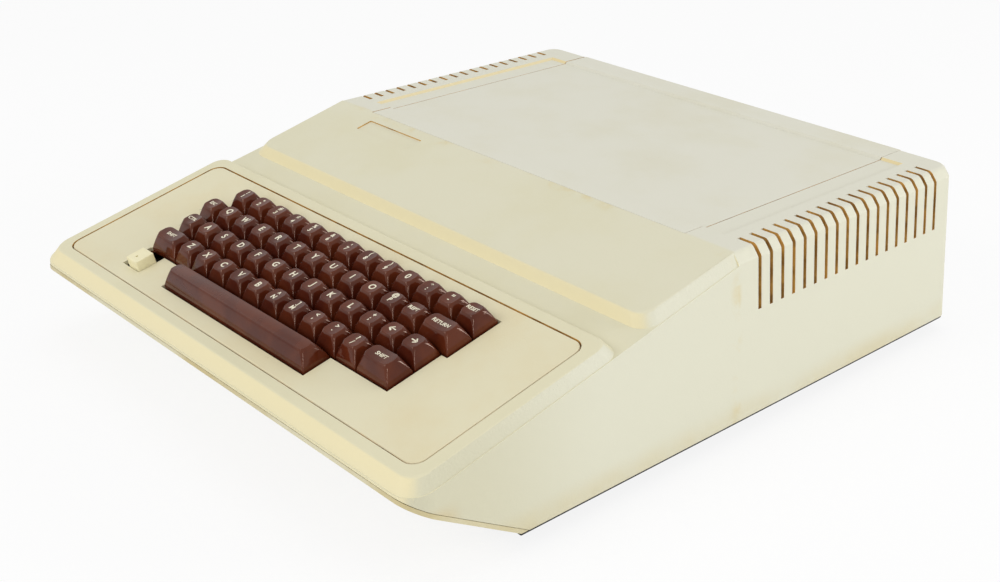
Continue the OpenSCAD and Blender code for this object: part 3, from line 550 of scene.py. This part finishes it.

# %% [markdown]
# ## Key caps
# A real cap is moulded round a core: a hollow block whose sides lean in, most at the front, and
# whose corners are sharp at the base and well rounded at the top, with a dish from side to side.
# A bevelled cube would have the same corner all the way up. So one cap of each width is lofted
# through rounded outlines, hollowed from below, cut with a large cylinder for its dish (all but
# the space bar), and its rim is rounded. Every key is then a copy of one of them.

# %% One cap
LEAN_SIDE, LEAN_FRONT, LEAN_REAR = 3.7, 5.2, 3.2
dish_depth, dish_r = 0.9, 25
cap_wall, rim_r = 1.4, 0.4
stem_r, stem_low, stem_high = 2.8, -15, key_rise - 2
# Each ring: level, share of the lean, radius of the front corners, radius of the rear corners
CAP_RINGS = ((-key_skirt, 0, 0.5, 0.5), (0.5, 0, 0.6, 0.6), (3, 0.2, 1.0, 1.1),
             (6, 0.47, 1.6, 2.0), (8.5, 0.71, 2.2, 3.0), (key_rise, 1, 2.8, 4.2))


def dish_radius(width):
    """A wider cap has a shallower curve, so that its dish is as deep."""
    return dish_r * (width / (key_pitch - key_gap)) ** 2


def cap_shape(name, units, dished=True, leans=(LEAN_SIDE, LEAN_FRONT, LEAN_REAR)):
    """A key cap round its own middle, with the panel's face at zero height."""
    w, d = units * key_pitch - key_gap, key_pitch - key_gap
    side, front, rear = leans
    rings = []
    for level, share, r_front, r_rear in CAP_RINGS:
        rings.append([(x, y, level) for x, y in outline(
            w / 2 - side * share, -d / 2 + front * share, d / 2 - rear * share, r_front, r_rear)])
    cap = loft(name, rings)
    edit(cap)
    pick("faces", lambda p, n: n.z < -0.9)
    bpy.ops.mesh.inset(thickness=cap_wall * MM)
    bpy.ops.mesh.extrude_region_move(TRANSFORM_OT_translate={
        "value": (0, (front - rear) / 2 * 0.7 * MM, (key_skirt + key_rise - 3) * MM)})
    resize(1 - 2 * side / w, 1 - (front + rear) / d, 1)
    let_go()
    if dished:
        r = dish_radius(w)
        bpy.ops.mesh.primitive_cylinder_add(
            vertices=int(7 * r), radius=r * MM, depth=2 * d * MM,
            location=(0, 0, (key_rise + r - dish_depth) * MM), rotation=(math.pi / 2, 0, 0))
        bpy.ops.object.transform_apply(location=True, rotation=True, scale=True)
        combine(cap, bpy.context.object)
    hold(cap)
    rim = cap.modifiers.new("rim", "BEVEL")
    rim.width, rim.segments, rim.angle_limit = rim_r * MM, 3, math.radians(40)
    rim.use_clamp_overlap = not dished
    bpy.ops.object.modifier_apply(modifier=rim.name)
    bpy.ops.mesh.primitive_cylinder_add(vertices=20, radius=stem_r * MM,
                                        depth=(stem_high - stem_low) * MM,
                                        location=(0, 0, (stem_high + stem_low) / 2 * MM))
    bpy.ops.object.transform_apply(location=True, rotation=True, scale=True)
    join([cap, bpy.context.object])
    bpy.ops.object.shade_smooth_by_angle(angle=math.radians(50))
    return cap


single_cap = cap_shape("single_cap", 1)
wide_cap = cap_shape("wide_cap", 1.5)
space_cap = cap_shape("space_cap", space_units, False, (4, 4.8, 4.9))
for cap in (single_cap, wide_cap, space_cap):
    report(cap)


# %% [markdown]
# ## Legends
# The letters are moulded in a second, cream plastic that runs through the cap. A texture could
# carry them, but a mesh keeps them sharp at any distance. Each is typed as text, made a mesh,
# and its points are lifted onto the dish, a hair above the brown plastic.

# %% Letters on a cap
# Each node: its row, its left end in key widths and the legends of its keys
KEYS = (
    ("number_keys", 0, 0.5, [("1", "!"), ("2", '"'), ("3", "#"), ("4", "$"), ("5", "%"),
                             ("6", "&"), ("7", "'"), ("8", "("), ("9", ")"), ("0",),
                             (":", "*"), ("-", "=")]),
    ("key_reset", 0, 12.5, [("RESET",)]),
    ("key_escape", 1, 0, [("ESC",)]), ("key_q", 1, 1, [("Q",)]), ("key_w", 1, 2, [("W",)]),
    ("key_e", 1, 3, [("E",)]), ("key_r", 1, 4, [("R",)]), ("key_t", 1, 5, [("T",)]),
    ("key_y", 1, 6, [("Y",)]), ("key_u", 1, 7, [("U",)]), ("key_i", 1, 8, [("I",)]),
    ("key_o", 1, 9, [("O",)]), ("key_p", 1, 10, [("P", "@")]), ("key_repeat", 1, 11, [("REPT",)]),
    ("key_return", 1, 12, [("RETURN",)]), ("key_control", 2, 0.25, [("CTRL",)]),
    ("key_a", 2, 1.25, [("A",)]), ("key_s", 2, 2.25, [("S",)]), ("key_d", 2, 3.25, [("D",)]),
    ("key_f", 2, 4.25, [("F",)]), ("key_g", 2, 5.25, [("G",)]), ("key_h", 2, 6.25, [("H",)]),
    ("key_j", 2, 7.25, [("J",)]), ("key_k", 2, 8.25, [("K",)]), ("key_l", 2, 9.25, [("L",)]),
    ("key_semicolon", 2, 10.25, [(";", "+")]), ("key_arrow_left", 2, 11.25, [("\u2190",)]),
    ("key_arrow_right", 2, 12.25, [("\u2192",)]), ("key_shift_left", 3, 0.25, [("SHIFT",)]),
    ("lower_keys", 3, 1.75, [("Z",), ("X",), ("C",), ("V",), ("B",), ("N", "^"), ("M", "]"),
                             (",", "<"), (".", ">"), ("/", "?")]),
    ("key_shift_right", 3, 11.75, [("SHIFT",)]),
)
WIDE = ("key_return", "key_shift_left", "key_shift_right")


def letters(words, width, y, size, bold, room):
    """Text as a mesh on the dish of a cap, no wider than its room."""
    let_go()
    bpy.ops.object.text_add()
    text = bpy.context.object
    text.data.body = words
    text.data.align_x, text.data.align_y = "CENTER", "CENTER"
    text.data.size, text.data.offset, text.data.resolution_u = size * MM, bold * MM, 3
    bpy.ops.object.convert(target="MESH")
    mesh = bpy.context.object
    low, high = (Vector(f(v.co[i] for v in mesh.data.vertices) / MM for i in (0, 1, 2))
                 for f in (min, max))
    squeeze = min(1, room / (high.x - low.x))
    r = dish_radius(width)
    for vertex in mesh.data.vertices:
        px = (vertex.co.x / MM - (low.x + high.x) / 2) * squeeze
        py = vertex.co.y / MM + y - (low.y + high.y) / 2
        pz = key_rise + r - dish_depth - math.sqrt(r * r - px * px) + 0.03
        vertex.co = Vector((px, py, pz)) * MM
    return mesh


def copy_of(piece, name):
    """A copy with its own mesh."""
    twin = piece.copy()
    twin.data = piece.data.copy()
    twin.name = name
    bpy.context.collection.objects.link(twin)
    return twin


def on_deck(x, s):
    """The place of a key: its middle on the deck, leaning with the slope."""
    return Matrix.Translation(on_slope(x, s, deck_rise) * MM) @ Matrix.Rotation(tilt, 4, "X")


# %% The 52 keys
middle = (LEAN_FRONT - LEAN_REAR) / 2
keys = {}
for node, row, left, legends in KEYS:
    made = []
    for i, legend in enumerate(legends):
        units = 1.5 if node in WIDE else 1
        width = units * key_pitch - key_gap
        cap = copy_of(wide_cap if node in WIDE else single_cap, node + "_cap")
        room = width - 2 * LEAN_SIDE - 1.6
        if len(legend) == 2:
            marks = [letters(legend[1], width, middle + 2.2, 4.4, 0.16, 5),
                     letters(legend[0], width, middle - 2.1, 4.5, 0.16, 5)]
        elif len(legend[0]) > 1:
            marks = [letters(legend[0], width, middle, 3.7, 0.1, room)]
        else:
            marks = [letters(legend[0], width, middle, 6.2, 0.18, 6)]
        for mark in marks:
            mark.data.materials.clear()
        count = len(cap.data.polygons)
        cap = join([cap] + marks)
        cream_faces = [False] * count + [True] * (len(cap.data.polygons) - count)
        cap.data.attributes.new("legend", "BOOLEAN", "FACE").data.foreach_set("value", cream_faces)
        cap.data.transform(on_deck(col_x(left + i + units / 2), row_s(row)))
        made.append(cap)
    keys[node] = join(made)
    keys[node].name = node + "_caps" if len(made) > 1 else node + "_cap"
space_cap.data.transform(on_deck(col_x(space_u + space_units / 2), row_s(4)))
space_cap.name = "space_bar_cap"
keys["space_bar"] = space_cap
bpy.data.objects.remove(single_cap)
bpy.data.objects.remove(wide_cap)
print("keys made:", sum(len(row[3]) for row in KEYS) + 1)

# %% [markdown]
# ## Power lamp
# The lamp cap is a small cream block that doesn't move, with a pinhole where its lamp shines.
# It is a cube with rounded edges and a hole cut by a cylinder.

# %% Lamp cap
lamp_w, lamp_l, lamp_low, lamp_high = 12.5, 13, -13, 7
pinhole_r, pinhole_s = 0.9, 4.5
lamp_x1 = lamp_left + lamp_cut_w - 0.4
lamp_s = lamp_front + 0.5
lamp = block("lamp_cap", (lamp_x1 - lamp_w, 0, lamp_low), (lamp_x1, lamp_l, lamp_high))
edit(lamp)
pick("edges", lambda p, d: p.z > lamp_low + 1)
bevel(0.7, 4)
let_go()
pinhole = Vector((lamp_x1 - lamp_w / 2, pinhole_s, lamp_high))
bpy.ops.mesh.primitive_cylinder_add(vertices=32, radius=pinhole_r * MM, depth=4 * MM,
                                    location=pinhole * MM)
bpy.ops.object.transform_apply(location=True, rotation=True, scale=True)
combine(lamp, bpy.context.object)
lamp.data.transform(on_deck(0, lamp_s))
report(lamp)

# %% [markdown]
# ## Screws of the chin
# The CAD screws stand proud of the sloping chin, where the photo shows none below the nose. The
# heads could be left out, but then the chin would have nothing to hold it, so a copy of the
# screws is merged and its front four are drawn in, square to the chin.

# %% Draw the chin screws in
head_rise = 2
let_go()
screws = bpy.data.objects.new("recessed_case_screws", nodes["case_screws"].data.copy())
bpy.context.collection.objects.link(screws)
edit(screws)
bpy.ops.mesh.select_all(action="SELECT")
bpy.ops.mesh.remove_doubles(threshold=0.001 * MM)
pick("verts", lambda p, n: p.y < nose_y + 20)
move(0, head_rise * math.sin(chin), head_rise * math.cos(chin))
report(screws)

# %% [markdown]
# ## Pieces on their bodies
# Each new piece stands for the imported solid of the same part, and rides on the body that moves
# it. Flat faces keep flat shading beside their small bevels through weighted normals.

# %% Ride and replace
case.data.validate()
for piece in (case, lid, panel, lamp):
    smooth(piece)
riders = [(case, "case", "case_shell", "cream_plastic"), (lid, "lid", "lid", "cream_plastic"),
          (panel, "case", "keyboard_panel", "panel_plastic"),
          (lamp, "case", "power_lamp", "lamp_plastic"),
          (screws, "case", "case_screws", "plate_steel")]
riders += [(piece, node, node, "key_plastic") for node, piece in keys.items()]
for piece, body, node, slot in riders:
    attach(piece, body)
    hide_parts(node)
print("pieces on bodies:", len(riders))

# %% [markdown]
# ## Finishes
# A finish could be painted as an image, but then it would not follow a change of size. Here
# each finish is a small network of noise and place, and the sums in it are written as sums.

# %% A socket that can be reckoned with
class Reading:
    """Wraps a socket, so that + - * / on it add the Math nodes."""

    def __init__(self, finish, socket):
        self.finish, self.socket = finish, socket

    def sum(self, operation, a, b):
        return self.finish.node("Math", {"operation": operation}, {0: a, 1: b})

    def __add__(self, other):
        return self.sum("ADD", self, other)

    def __sub__(self, other):
        return self.sum("SUBTRACT", self, other)

    def __mul__(self, other):
        return self.sum("MULTIPLY", self, other)

    def __truediv__(self, other):
        return self.sum("DIVIDE", self, other)

    def __radd__(self, other):
        return self.sum("ADD", other, self)

    def __rsub__(self, other):
        return self.sum("SUBTRACT", other, self)

    def __rmul__(self, other):
        return self.sum("MULTIPLY", other, self)

    def __rtruediv__(self, other):
        return self.sum("DIVIDE", other, self)


def colour(code):
    """A hex colour, as the eye sees it, in the linear numbers that a shader wants."""
    parts = [int(code[i:i + 2], 16) / 255 for i in (0, 2, 4)]
    return tuple(c / 12.92 if c < 0.04045 else ((c + 0.055) / 1.055) ** 2.4 for c in parts) + (1,)


class Finish:
    """A material whose nodes are added one by one, each with its settings and its sockets."""

    def __init__(self, name, **plain):
        self.material = bpy.data.materials.new(name)
        self.material.use_nodes = True
        self.tree = self.material.node_tree
        self.shader = self.tree.nodes["Principled BSDF"]
        for socket, value in plain.items():
            self.shader.inputs[socket.replace("_", " ")].default_value = value

    def node(self, kind, settings=(), sockets=(), out=0):
        """Adds a node, sets it up and returns one of its outputs."""
        made = self.tree.nodes.new("ShaderNode" + kind)
        for name, value in dict(settings).items():
            setattr(made, name, value)
        for key, value in dict(sockets).items():
            self.feed(made.inputs[key], value)
        return Reading(self, made.outputs[out])

    def feed(self, socket, value):
        if isinstance(value, Reading):
            self.tree.links.new(value.socket, socket)
        else:
            socket.default_value = value

    def set(self, **sockets):
        for socket, value in sockets.items():
            self.feed(self.shader.inputs[socket.replace("_", " ")], value)

    def place(self):
        return self.node("TexCoord", out="Object")

    def parts(self, vector):
        """The three numbers of a vector, as readings."""
        split = self.node("SeparateXYZ", sockets={0: vector}).socket.node
        return [Reading(self, output) for output in split.outputs]

    def axes(self):
        """The place on the object in millimetres, as three readings."""
        return [part * 1000 for part in self.parts(self.place())]

    def facing(self):
        """The direction that the surface faces, as three readings."""
        return self.parts(self.node("TexCoord", out="Normal"))

    def size_of(self, reading):
        return self.node("Math", {"operation": "ABSOLUTE"}, {0: reading})

    def noise(self, per_mm, detail=3, rough=0.55):
        return self.node("TexNoise", sockets={"Vector": self.place(), "Scale": per_mm * 1000,
                                              "Detail": detail, "Roughness": rough})

    def between(self, reading, low, high):
        """0 below low, 1 above high and a soft step between them."""
        return self.node("MapRange", {"interpolation_type": "SMOOTHSTEP"},
                         {"Value": reading, "From Min": low, "From Max": high})

    def blend(self, share, a, b):
        """One colour over another, by a share."""
        return self.node("Mix", {"data_type": "RGBA", "clamp_factor": True},
                         {0: share, 6: a, 7: b}, 2)

    def relief(self, height, depth_mm, strength=1.0):
        """A bump from a height in 0 to 1 and its depth in millimetres."""
        self.set(Normal=self.node("Bump", sockets={"Height": height, "Strength": strength,
                                                   "Distance": depth_mm * MM}))


def paint(piece, *finishes):
    """Gives a piece its materials, first slot first."""
    piece.data.materials.clear()
    for finish in finishes:
        piece.data.materials.append(finish.material)


def dust_and_shade(piece, test):
    """Turns the faces that pass a test to the second finish, a brown of old dirt and painted
    shade.
    """
    count = 0
    for face in piece.data.polygons:
        if test(face.center / MM, face.normal):
            face.material_index = 1
            count += 1
    print(piece.name, "faces with old dust:", count)


# %% [markdown]
# ## Cream plastic
# The case is a pale cream moulding with a fine spark-eroded grain. Forty years of light have
# yellowed its slope more than its top, hands and dirt have left faint stains along the crease,
# and the moulded bevels are coarser than the flat faces. Low down it turns darker and yellower in
# patches. Light and shade are painted in as well: the bevels that face forward are painted
# lighter, as if lit from the front, and painted shade darkens the side walls towards the front
# and the faces low under the nose.

# %% The case's plastic
def cream(name):
    finish = Finish(name, Roughness=0.5, Specular_IOR_Level=0.35)
    x, y, z = finish.axes()
    nx, ny, nz = finish.facing()
    across = finish.size_of(nx)
    clouds = finish.noise(0.011, 5, 0.6)
    specks = finish.noise(0.9, 2, 0.7)
    patchy = finish.between(finish.noise(0.045, 4, 0.65), 0.48, 0.72)

    flat_top = finish.between(y, crease_y - 1, crease_y + 3)
    wall_side = finish.between(across, 0.4, 0.7)
    shade = finish.blend(finish.between(y, -60, -100), colour("dfdbc1"), colour("e1dbbb"))
    shade = finish.blend(finish.between(clouds, 0.4, 0.7) * 0.5, shade, colour("dad4b1"))
    shade = finish.blend(flat_top, shade, colour("dedccb"))
    # Painted light: bevels that face forward are made lighter and yellower, as if lit by the front
    # lamps.
    painted_light_front_bevels = finish.between(ny, -0.42, -0.75) * finish.between(z, 45, 60)
    shade = finish.blend(painted_light_front_bevels * 0.75, shade, colour("ecdfb2"))
    # The side walls get a tone of their own, and painted shade darkens them towards the front.
    painted_shade_wall_front = finish.between(y, -90, -205)
    side = finish.blend(painted_shade_wall_front, colour("dfddc8"), colour("d3cfb4"))
    shade = finish.blend(wall_side, shade, side)
    crease = (finish.between(y, crease_y - 9, crease_y - 1)
              * (1 - finish.between(y, crease_y, crease_y + 4)))
    shade = finish.blend(crease * patchy * 0.55, shade, colour("d8c68f"))
    low_edge = finish.between(z, 27, 12) * finish.between(clouds, 0.3, 0.62)
    shade = finish.blend(low_edge * 0.4, shade, colour("d2bf85"))
    # Painted shade: a darker gold low under the nose, where the overhang shades the faces below
    # it.
    painted_shade_under_nose = finish.between(z, 50, 36) * finish.between(y, -196, -216)
    shade = finish.blend(painted_shade_under_nose * 0.8, shade, colour("c9a860"))
    middle_part = finish.between(finish.size_of(x), 172, 169)
    field_step = (1 - finish.between(nz, 0.8, 0.95)) * finish.between(nz, 0.5, 0.65) * flat_top
    shade = finish.blend(field_step * middle_part * 0.6, shade, colour("e6cf94"))
    dirt = finish.between(specks * 0.5 + clouds * 0.5, 0.66, 0.74)
    finish.set(Base_Color=finish.blend(dirt * 0.25, shade, colour("a58a54")))

    bevelled = (finish.between(across, 0.2, 0.5) * finish.between(nz, 0.25, 0.4)
                * finish.between(y, crease_y + 2, crease_y - 8))
    pebbles = finish.node("TexVoronoi", {"feature": "SMOOTH_F1"},
                          {"Vector": finish.place(), "Scale": 900.0, "Smoothness": 0.6})
    height = (finish.noise(0.8, 3, 0.6) * (0.5 + wall_side * 0.25 + bevelled * 1.2)
              + pebbles * bevelled * 0.9)
    finish.relief(height, 0.22, 0.55)
    return finish


# %% Plain creams
def plain_cream(name, base, aged, grain=0.9, rough=0.5):
    finish = Finish(name, Roughness=rough, Specular_IOR_Level=0.35)
    clouds = finish.noise(0.014, 5, 0.6)
    shade = finish.blend(finish.between(clouds, 0.4, 0.7), colour(base), colour(aged))
    specks = finish.between(finish.noise(0.5, 2, 0.7) * 0.5 + clouds * 0.5, 0.65, 0.72)
    finish.set(Base_Color=finish.blend(specks * 0.3, shade, colour("ab905c")))
    finish.relief(finish.noise(grain, 3, 0.6), 0.12, 0.5)
    return finish


case_cream = cream("case_cream")
lid_cream = plain_cream("lid_cream", "dfddcd", "dcd9c5")
panel_cream = plain_cream("panel_cream", "e2dbbb", "e0d5b0")
lamp_cream = plain_cream("lamp_cream", "efe7c0", "e9dfb2", 0.6, 0.4)
chin_cream = plain_cream("chin_cream", "dad3b4", "c9b988")
# The brown of slot walls, seams and recess walls: partly old dirt, partly painted shade where the
# gaps lie dark.
dust_and_shade_brown = Finish("dust_and_shade_brown", Roughness=0.8)
dust_and_shade_brown.set(Base_Color=dust_and_shade_brown.blend(dust_and_shade_brown.between(dust_and_shade_brown.noise(0.09, 4), 0.35, 0.65),
                                       colour("d3a350"), colour("9c7233")))
paint(case, case_cream, dust_and_shade_brown)
paint(lid, lid_cream, dust_and_shade_brown)
paint(panel, panel_cream, dust_and_shade_brown)
paint(lamp, lamp_cream)


# %% Where dirt and painted shade lie
def on_step(p, low, high):
    """True in the thickness between two heights over the deck's face."""
    return low < height_on_deck(p) < high and p.y < crease_y - 80


dust_and_shade(case, lambda p, n: abs(n.y) > 0.9 and abs(p.x) > vent_x - 1 and p.z > vent_z
     and vent_y0 - 4 < p.y < vent_y0 + vent_n * vent_pitch)
dust_and_shade(case, lambda p, n: abs(p.x) > vent_x - 1 and n.z > 0.9 and abs(p.z - vent_z) < 0.1)
dust_and_shade(case, lambda p, n: abs(abs(p.x) - (lid_w + lid_gap) / 2) < 0.05 and abs(n.x) > 0.9
     and p.z > lid_low)
dust_and_shade(lid, lambda p, n: abs(n.z) < 0.2 and p.z > lid_low and p.y < rear_y - 1)
dust_and_shade(case, lambda p, n: on_step(p, -panel_t - 0.1, -0.1) and abs(n @ out_of_deck) < 0.2)
dust_and_shade(panel, lambda p, n: on_step(p, -panel_t, -0.5) and abs(n @ out_of_deck) < 0.2
     and (abs(p.x) > panel_w / 2 - panel_r - 1 or abs(p.y - on_slope(0, panel_y0, 0).y) < 3
          or abs(p.y - on_slope(0, panel_y1, 0).y) < 3))
dust_and_shade(case, lambda p, n: abs(p.x - badge_x) <= badge_w / 2 and abs(n @ out_of_deck) < 0.3
     and -2 < (p - on_slope(0, 0, 0)) @ out_of_deck < -0.1 and -40 < p.y < crease_y)

# %% [markdown]
# ## Brown keys
# The caps are a brown plastic, glossy on the sides and a little duller where fingers rub the
# top. The gloss shows the next key and the bright studio, so the colour itself stays plain.

# %% Key plastics
key_brown = Finish("key_brown", Specular_IOR_Level=0.4, Specular_Tint=(1, 0.74, 0.6, 1))
wear = key_brown.between(key_brown.noise(0.05, 3), 0.35, 0.65)
key_brown.set(Base_Color=key_brown.blend(wear, colour("48190d"), colour("582512")))
rubbed = key_brown.between(key_brown.facing()[2], 0.85, 0.95)
key_brown.set(Roughness=0.07 + rubbed * (0.16 + wear * 0.08))
key_brown.relief(key_brown.noise(1.6, 2) * rubbed + key_brown.noise(0.1, 1) * 0.3, 0.05, 0.3)
legend_cream = Finish("legend_cream", Roughness=0.4)
legend_cream.set(Base_Color=legend_cream.blend(legend_cream.noise(0.2),
                                               colour("f2ecd6"), colour("e3d9bb")))
for piece in keys.values():
    paint(piece, key_brown, legend_cream)
    marked = piece.data.attributes.get("legend")
    if marked:
        flags = [False] * len(piece.data.polygons)
        marked.data.foreach_get("value", flags)
        piece.data.polygons.foreach_set("material_index", [int(flag) for flag in flags])

# %% [markdown]
# ## What lies inside and below
# These pieces keep the imported solids. Boards get a green solder mask with copper tracks under
# it, the supply its gold case, chips a dull black, and the base pan its black paint.

# %% Finishes of the inner pieces
def mottled(name, base, other, per_mm, rough, metal=0.0):
    """A plain finish whose colour drifts between two shades under a fine grain."""
    finish = Finish(name, Metallic=metal)
    drift = finish.between(finish.noise(per_mm, 4), 0.35, 0.65)
    finish.set(Base_Color=finish.blend(drift, colour(base), colour(other)),
               Roughness=rough + drift * 0.12)
    finish.relief(finish.noise(0.5, 3), 0.04, 0.4)
    return finish


def laminate(name):
    """A circuit board: green mask, tracks that run in blocks one way or the other."""
    finish = Finish(name, Specular_IOR_Level=0.5)
    block_noise = finish.noise(0.03, 1)
    lines = [finish.node("Math", {"operation": "PINGPONG"}, {0: axis, 1: 1.27})
             for axis in finish.axes()[:2]]
    tracks = [finish.between(line, 0.42, 0.34) for line in lines]
    along = finish.between(block_noise, 0.49, 0.51)
    track = tracks[0] * along + tracks[1] * (1 - along)
    pads = finish.between(lines[0] * lines[0] + lines[1] * lines[1], 0.3, 0.22)
    shade = finish.blend(track, colour("1f5c34"), colour("2f7a46"))
    shade = finish.blend(pads * finish.between(block_noise, 0.45, 0.47), shade, colour("b9b48f"))
    finish.set(Base_Color=shade, Roughness=0.32)
    finish.relief(track, 0.05, 0.5)
    return finish


def striped(name, base, stripe, pitch, share):
    """Stripes across the machine's depth, such as contacts in a socket."""
    finish = Finish(name, Roughness=0.5)
    line = finish.node("Math", {"operation": "PINGPONG"}, {0: finish.axes()[1], 1: pitch / 2})
    mask = (finish.between(line, share, share * 0.7)
            * finish.between(finish.facing()[2], 0.7, 0.9))
    finish.set(Base_Color=finish.blend(mask, colour(base), colour(stripe)))
    finish.relief(finish.noise(0.7), 0.04, 0.4)
    return finish


board_green = laminate("board_green")
inner_finishes = {
    "base_pan": mottled("pan_black", "151515", "211f1d", 0.04, 0.5),
    "chin_panel": chin_cream,
    "rubber_feet": mottled("foot_rubber", "1b1a19", "262422", 0.1, 0.75),
    "keyboard_plate": mottled("plate_steel", "9fa1a0", "85888a", 0.02, 0.35, 1.0),
    "key_switches": mottled("switch_black", "191817", "232120", 0.1, 0.45),
    "keyboard_board": board_green, "main_board": board_green,
    "keyboard_ribbon": striped("ribbon_grey", "9c9ea6", "7f828c", 2.54, 0.5),
    "board_standoffs": mottled("nylon_white", "e6e4da", "d8d4c4", 0.1, 0.4),
    "expansion_slots": striped("socket_green", "16302c", "c9a13b", 2.54, 0.45),
    "processor": mottled("ceramic_white", "d9d3c3", "c9c2ae", 0.06, 0.4),
    "rom_chips": mottled("chip_black", "1a1a1c", "242427", 0.1, 0.5),
    "memory_chips": mottled("memory_black", "1c1c1e", "29292b", 0.1, 0.45),
    "logic_chips": mottled("logic_black", "19191b", "252527", 0.12, 0.5),
    "game_socket": mottled("socket_black", "161617", "222224", 0.1, 0.45),
    "power_supply": mottled("supply_gold", "b8a468", "a08d55", 0.02, 0.4, 0.9),
    "power_rocker": mottled("rocker_black", "171716", "242322", 0.1, 0.35),
    "mains_inlet": mottled("inlet_black", "161615", "222120", 0.1, 0.45),
    "power_harness": mottled("wire_yellow", "c9b634", "b5a02c", 0.2, 0.4),
    "video_jack": mottled("jack_nickel", "c6c6c4", "aeaeac", 0.1, 0.3, 1.0),
    "cassette_jacks": mottled("jack_black", "171718", "232324", 0.1, 0.4),
    "speaker": mottled("speaker_grey", "3c3c40", "2e2e31", 0.1, 0.6),
    "lid_fasteners": mottled("pad_black", "1d1c1b", "2a2826", 0.2, 0.8),
    "case_screws": mottled("screw_zinc", "a9aaa8", "8f918f", 0.2, 0.35, 1.0),
}
for node, finish in inner_finishes.items():
    paint(screws if node == "case_screws" else nodes[node], finish)
print("inner pieces painted:", len(inner_finishes))

# %% [markdown]
# ## Floor, light and camera
# A photographer would stand the machine on a white sweep under soft boxes. The floor is a plain
# pale plane that keeps the shadow. Four soft lamps light it from behind on the right, beside
# the camera, from the front left and from above, at a level where a colour comes out as it is
# written. The one behind draws the bright crescents on the glossy keys.

# %% Floor
let_go()
bpy.ops.mesh.primitive_plane_add(size=40)
floor = bpy.context.object
floor.name = "floor"
pale = Finish("floor_white", Base_Color=(0.93, 0.93, 0.93, 1), Roughness=0.8)
seen = pale.node("LightPath", out="Is Camera Ray")
glow = pale.node("Emission", sockets={"Color": (1, 1, 1, 1), "Strength": 1.0})
lit = Reading(pale, pale.shader.outputs[0])
mixed = pale.node("MixShader", sockets={0: seen * 0.85, 1: lit, 2: glow})
pale.tree.links.new(mixed.socket, pale.tree.nodes["Material Output"].inputs[0])
paint(floor, pale)

# %% Light
class Sky(Finish):
    """The world's nodes, added in the same way as a material's."""

    def __init__(self, studio):
        studio.use_nodes = True
        self.tree = studio.node_tree
        self.shader = self.tree.nodes["Background"]


world = bpy.data.worlds.new("studio")
bpy.context.scene.world = world
sky = Sky(world)
rays = [sky.node("LightPath", out=name)
        for name in ("Is Camera Ray", "Is Glossy Ray", "Is Transmission Ray")]
seen = rays[0].sum("MAXIMUM", rays[0].sum("MAXIMUM", rays[0], rays[1]), rays[2])
sky.set(Strength=sky.node("MapRange", sockets={"Value": seen, "To Min": 0.5, "To Max": 1.0}),
        Color=(1, 1, 1, 1))


def soft_box(name, place, size, watts):
    """A rectangular lamp that looks at the middle of the machine."""
    light = bpy.data.lights.new(name, "AREA")
    light.shape, light.size, light.size_y, light.energy = "RECTANGLE", size[0], size[1], watts
    holder = bpy.data.objects.new(name, light)
    bpy.context.collection.objects.link(holder)
    aim = Vector((0, 0, 0.05)) - Vector(place)
    holder.location = place
    holder.rotation_euler = aim.to_track_quat("-Z", "Y").to_euler()


soft_box("rear_right_light", (1.7, 1.45, 0.8), (1.1, 0.5), 16.5)
soft_box("camera_light", (1.35, -1.5, 0.75), (0.15, 0.8), 7)
soft_box("front_left_light", (-0.7, -1.9, 1.4), (1.2, 0.9), 14)
soft_box("top_light", (0, 0.3, 2.2), (1.6, 1.6), 8.5)

# %% Camera
camera = bpy.data.objects.new("camera", bpy.data.cameras.new("camera"))
bpy.context.collection.objects.link(camera)
camera.data.lens, camera.data.sensor_width = 51.656, 36
across, down, ahead = (Vector(v) for v in ((0.663142, 0.748493, -0.000505),
                                           (0.31878, -0.28304, -0.904581),
                                           (-0.677216, 0.599705, -0.426301)))
turn = Matrix((across, -down, -ahead)).transposed().to_4x4()
camera.matrix_world = Matrix.Translation((0.654011, -0.577041, 0.439111)) @ turn
bpy.context.scene.camera = camera
bpy.context.scene.view_settings.view_transform = "Standard"
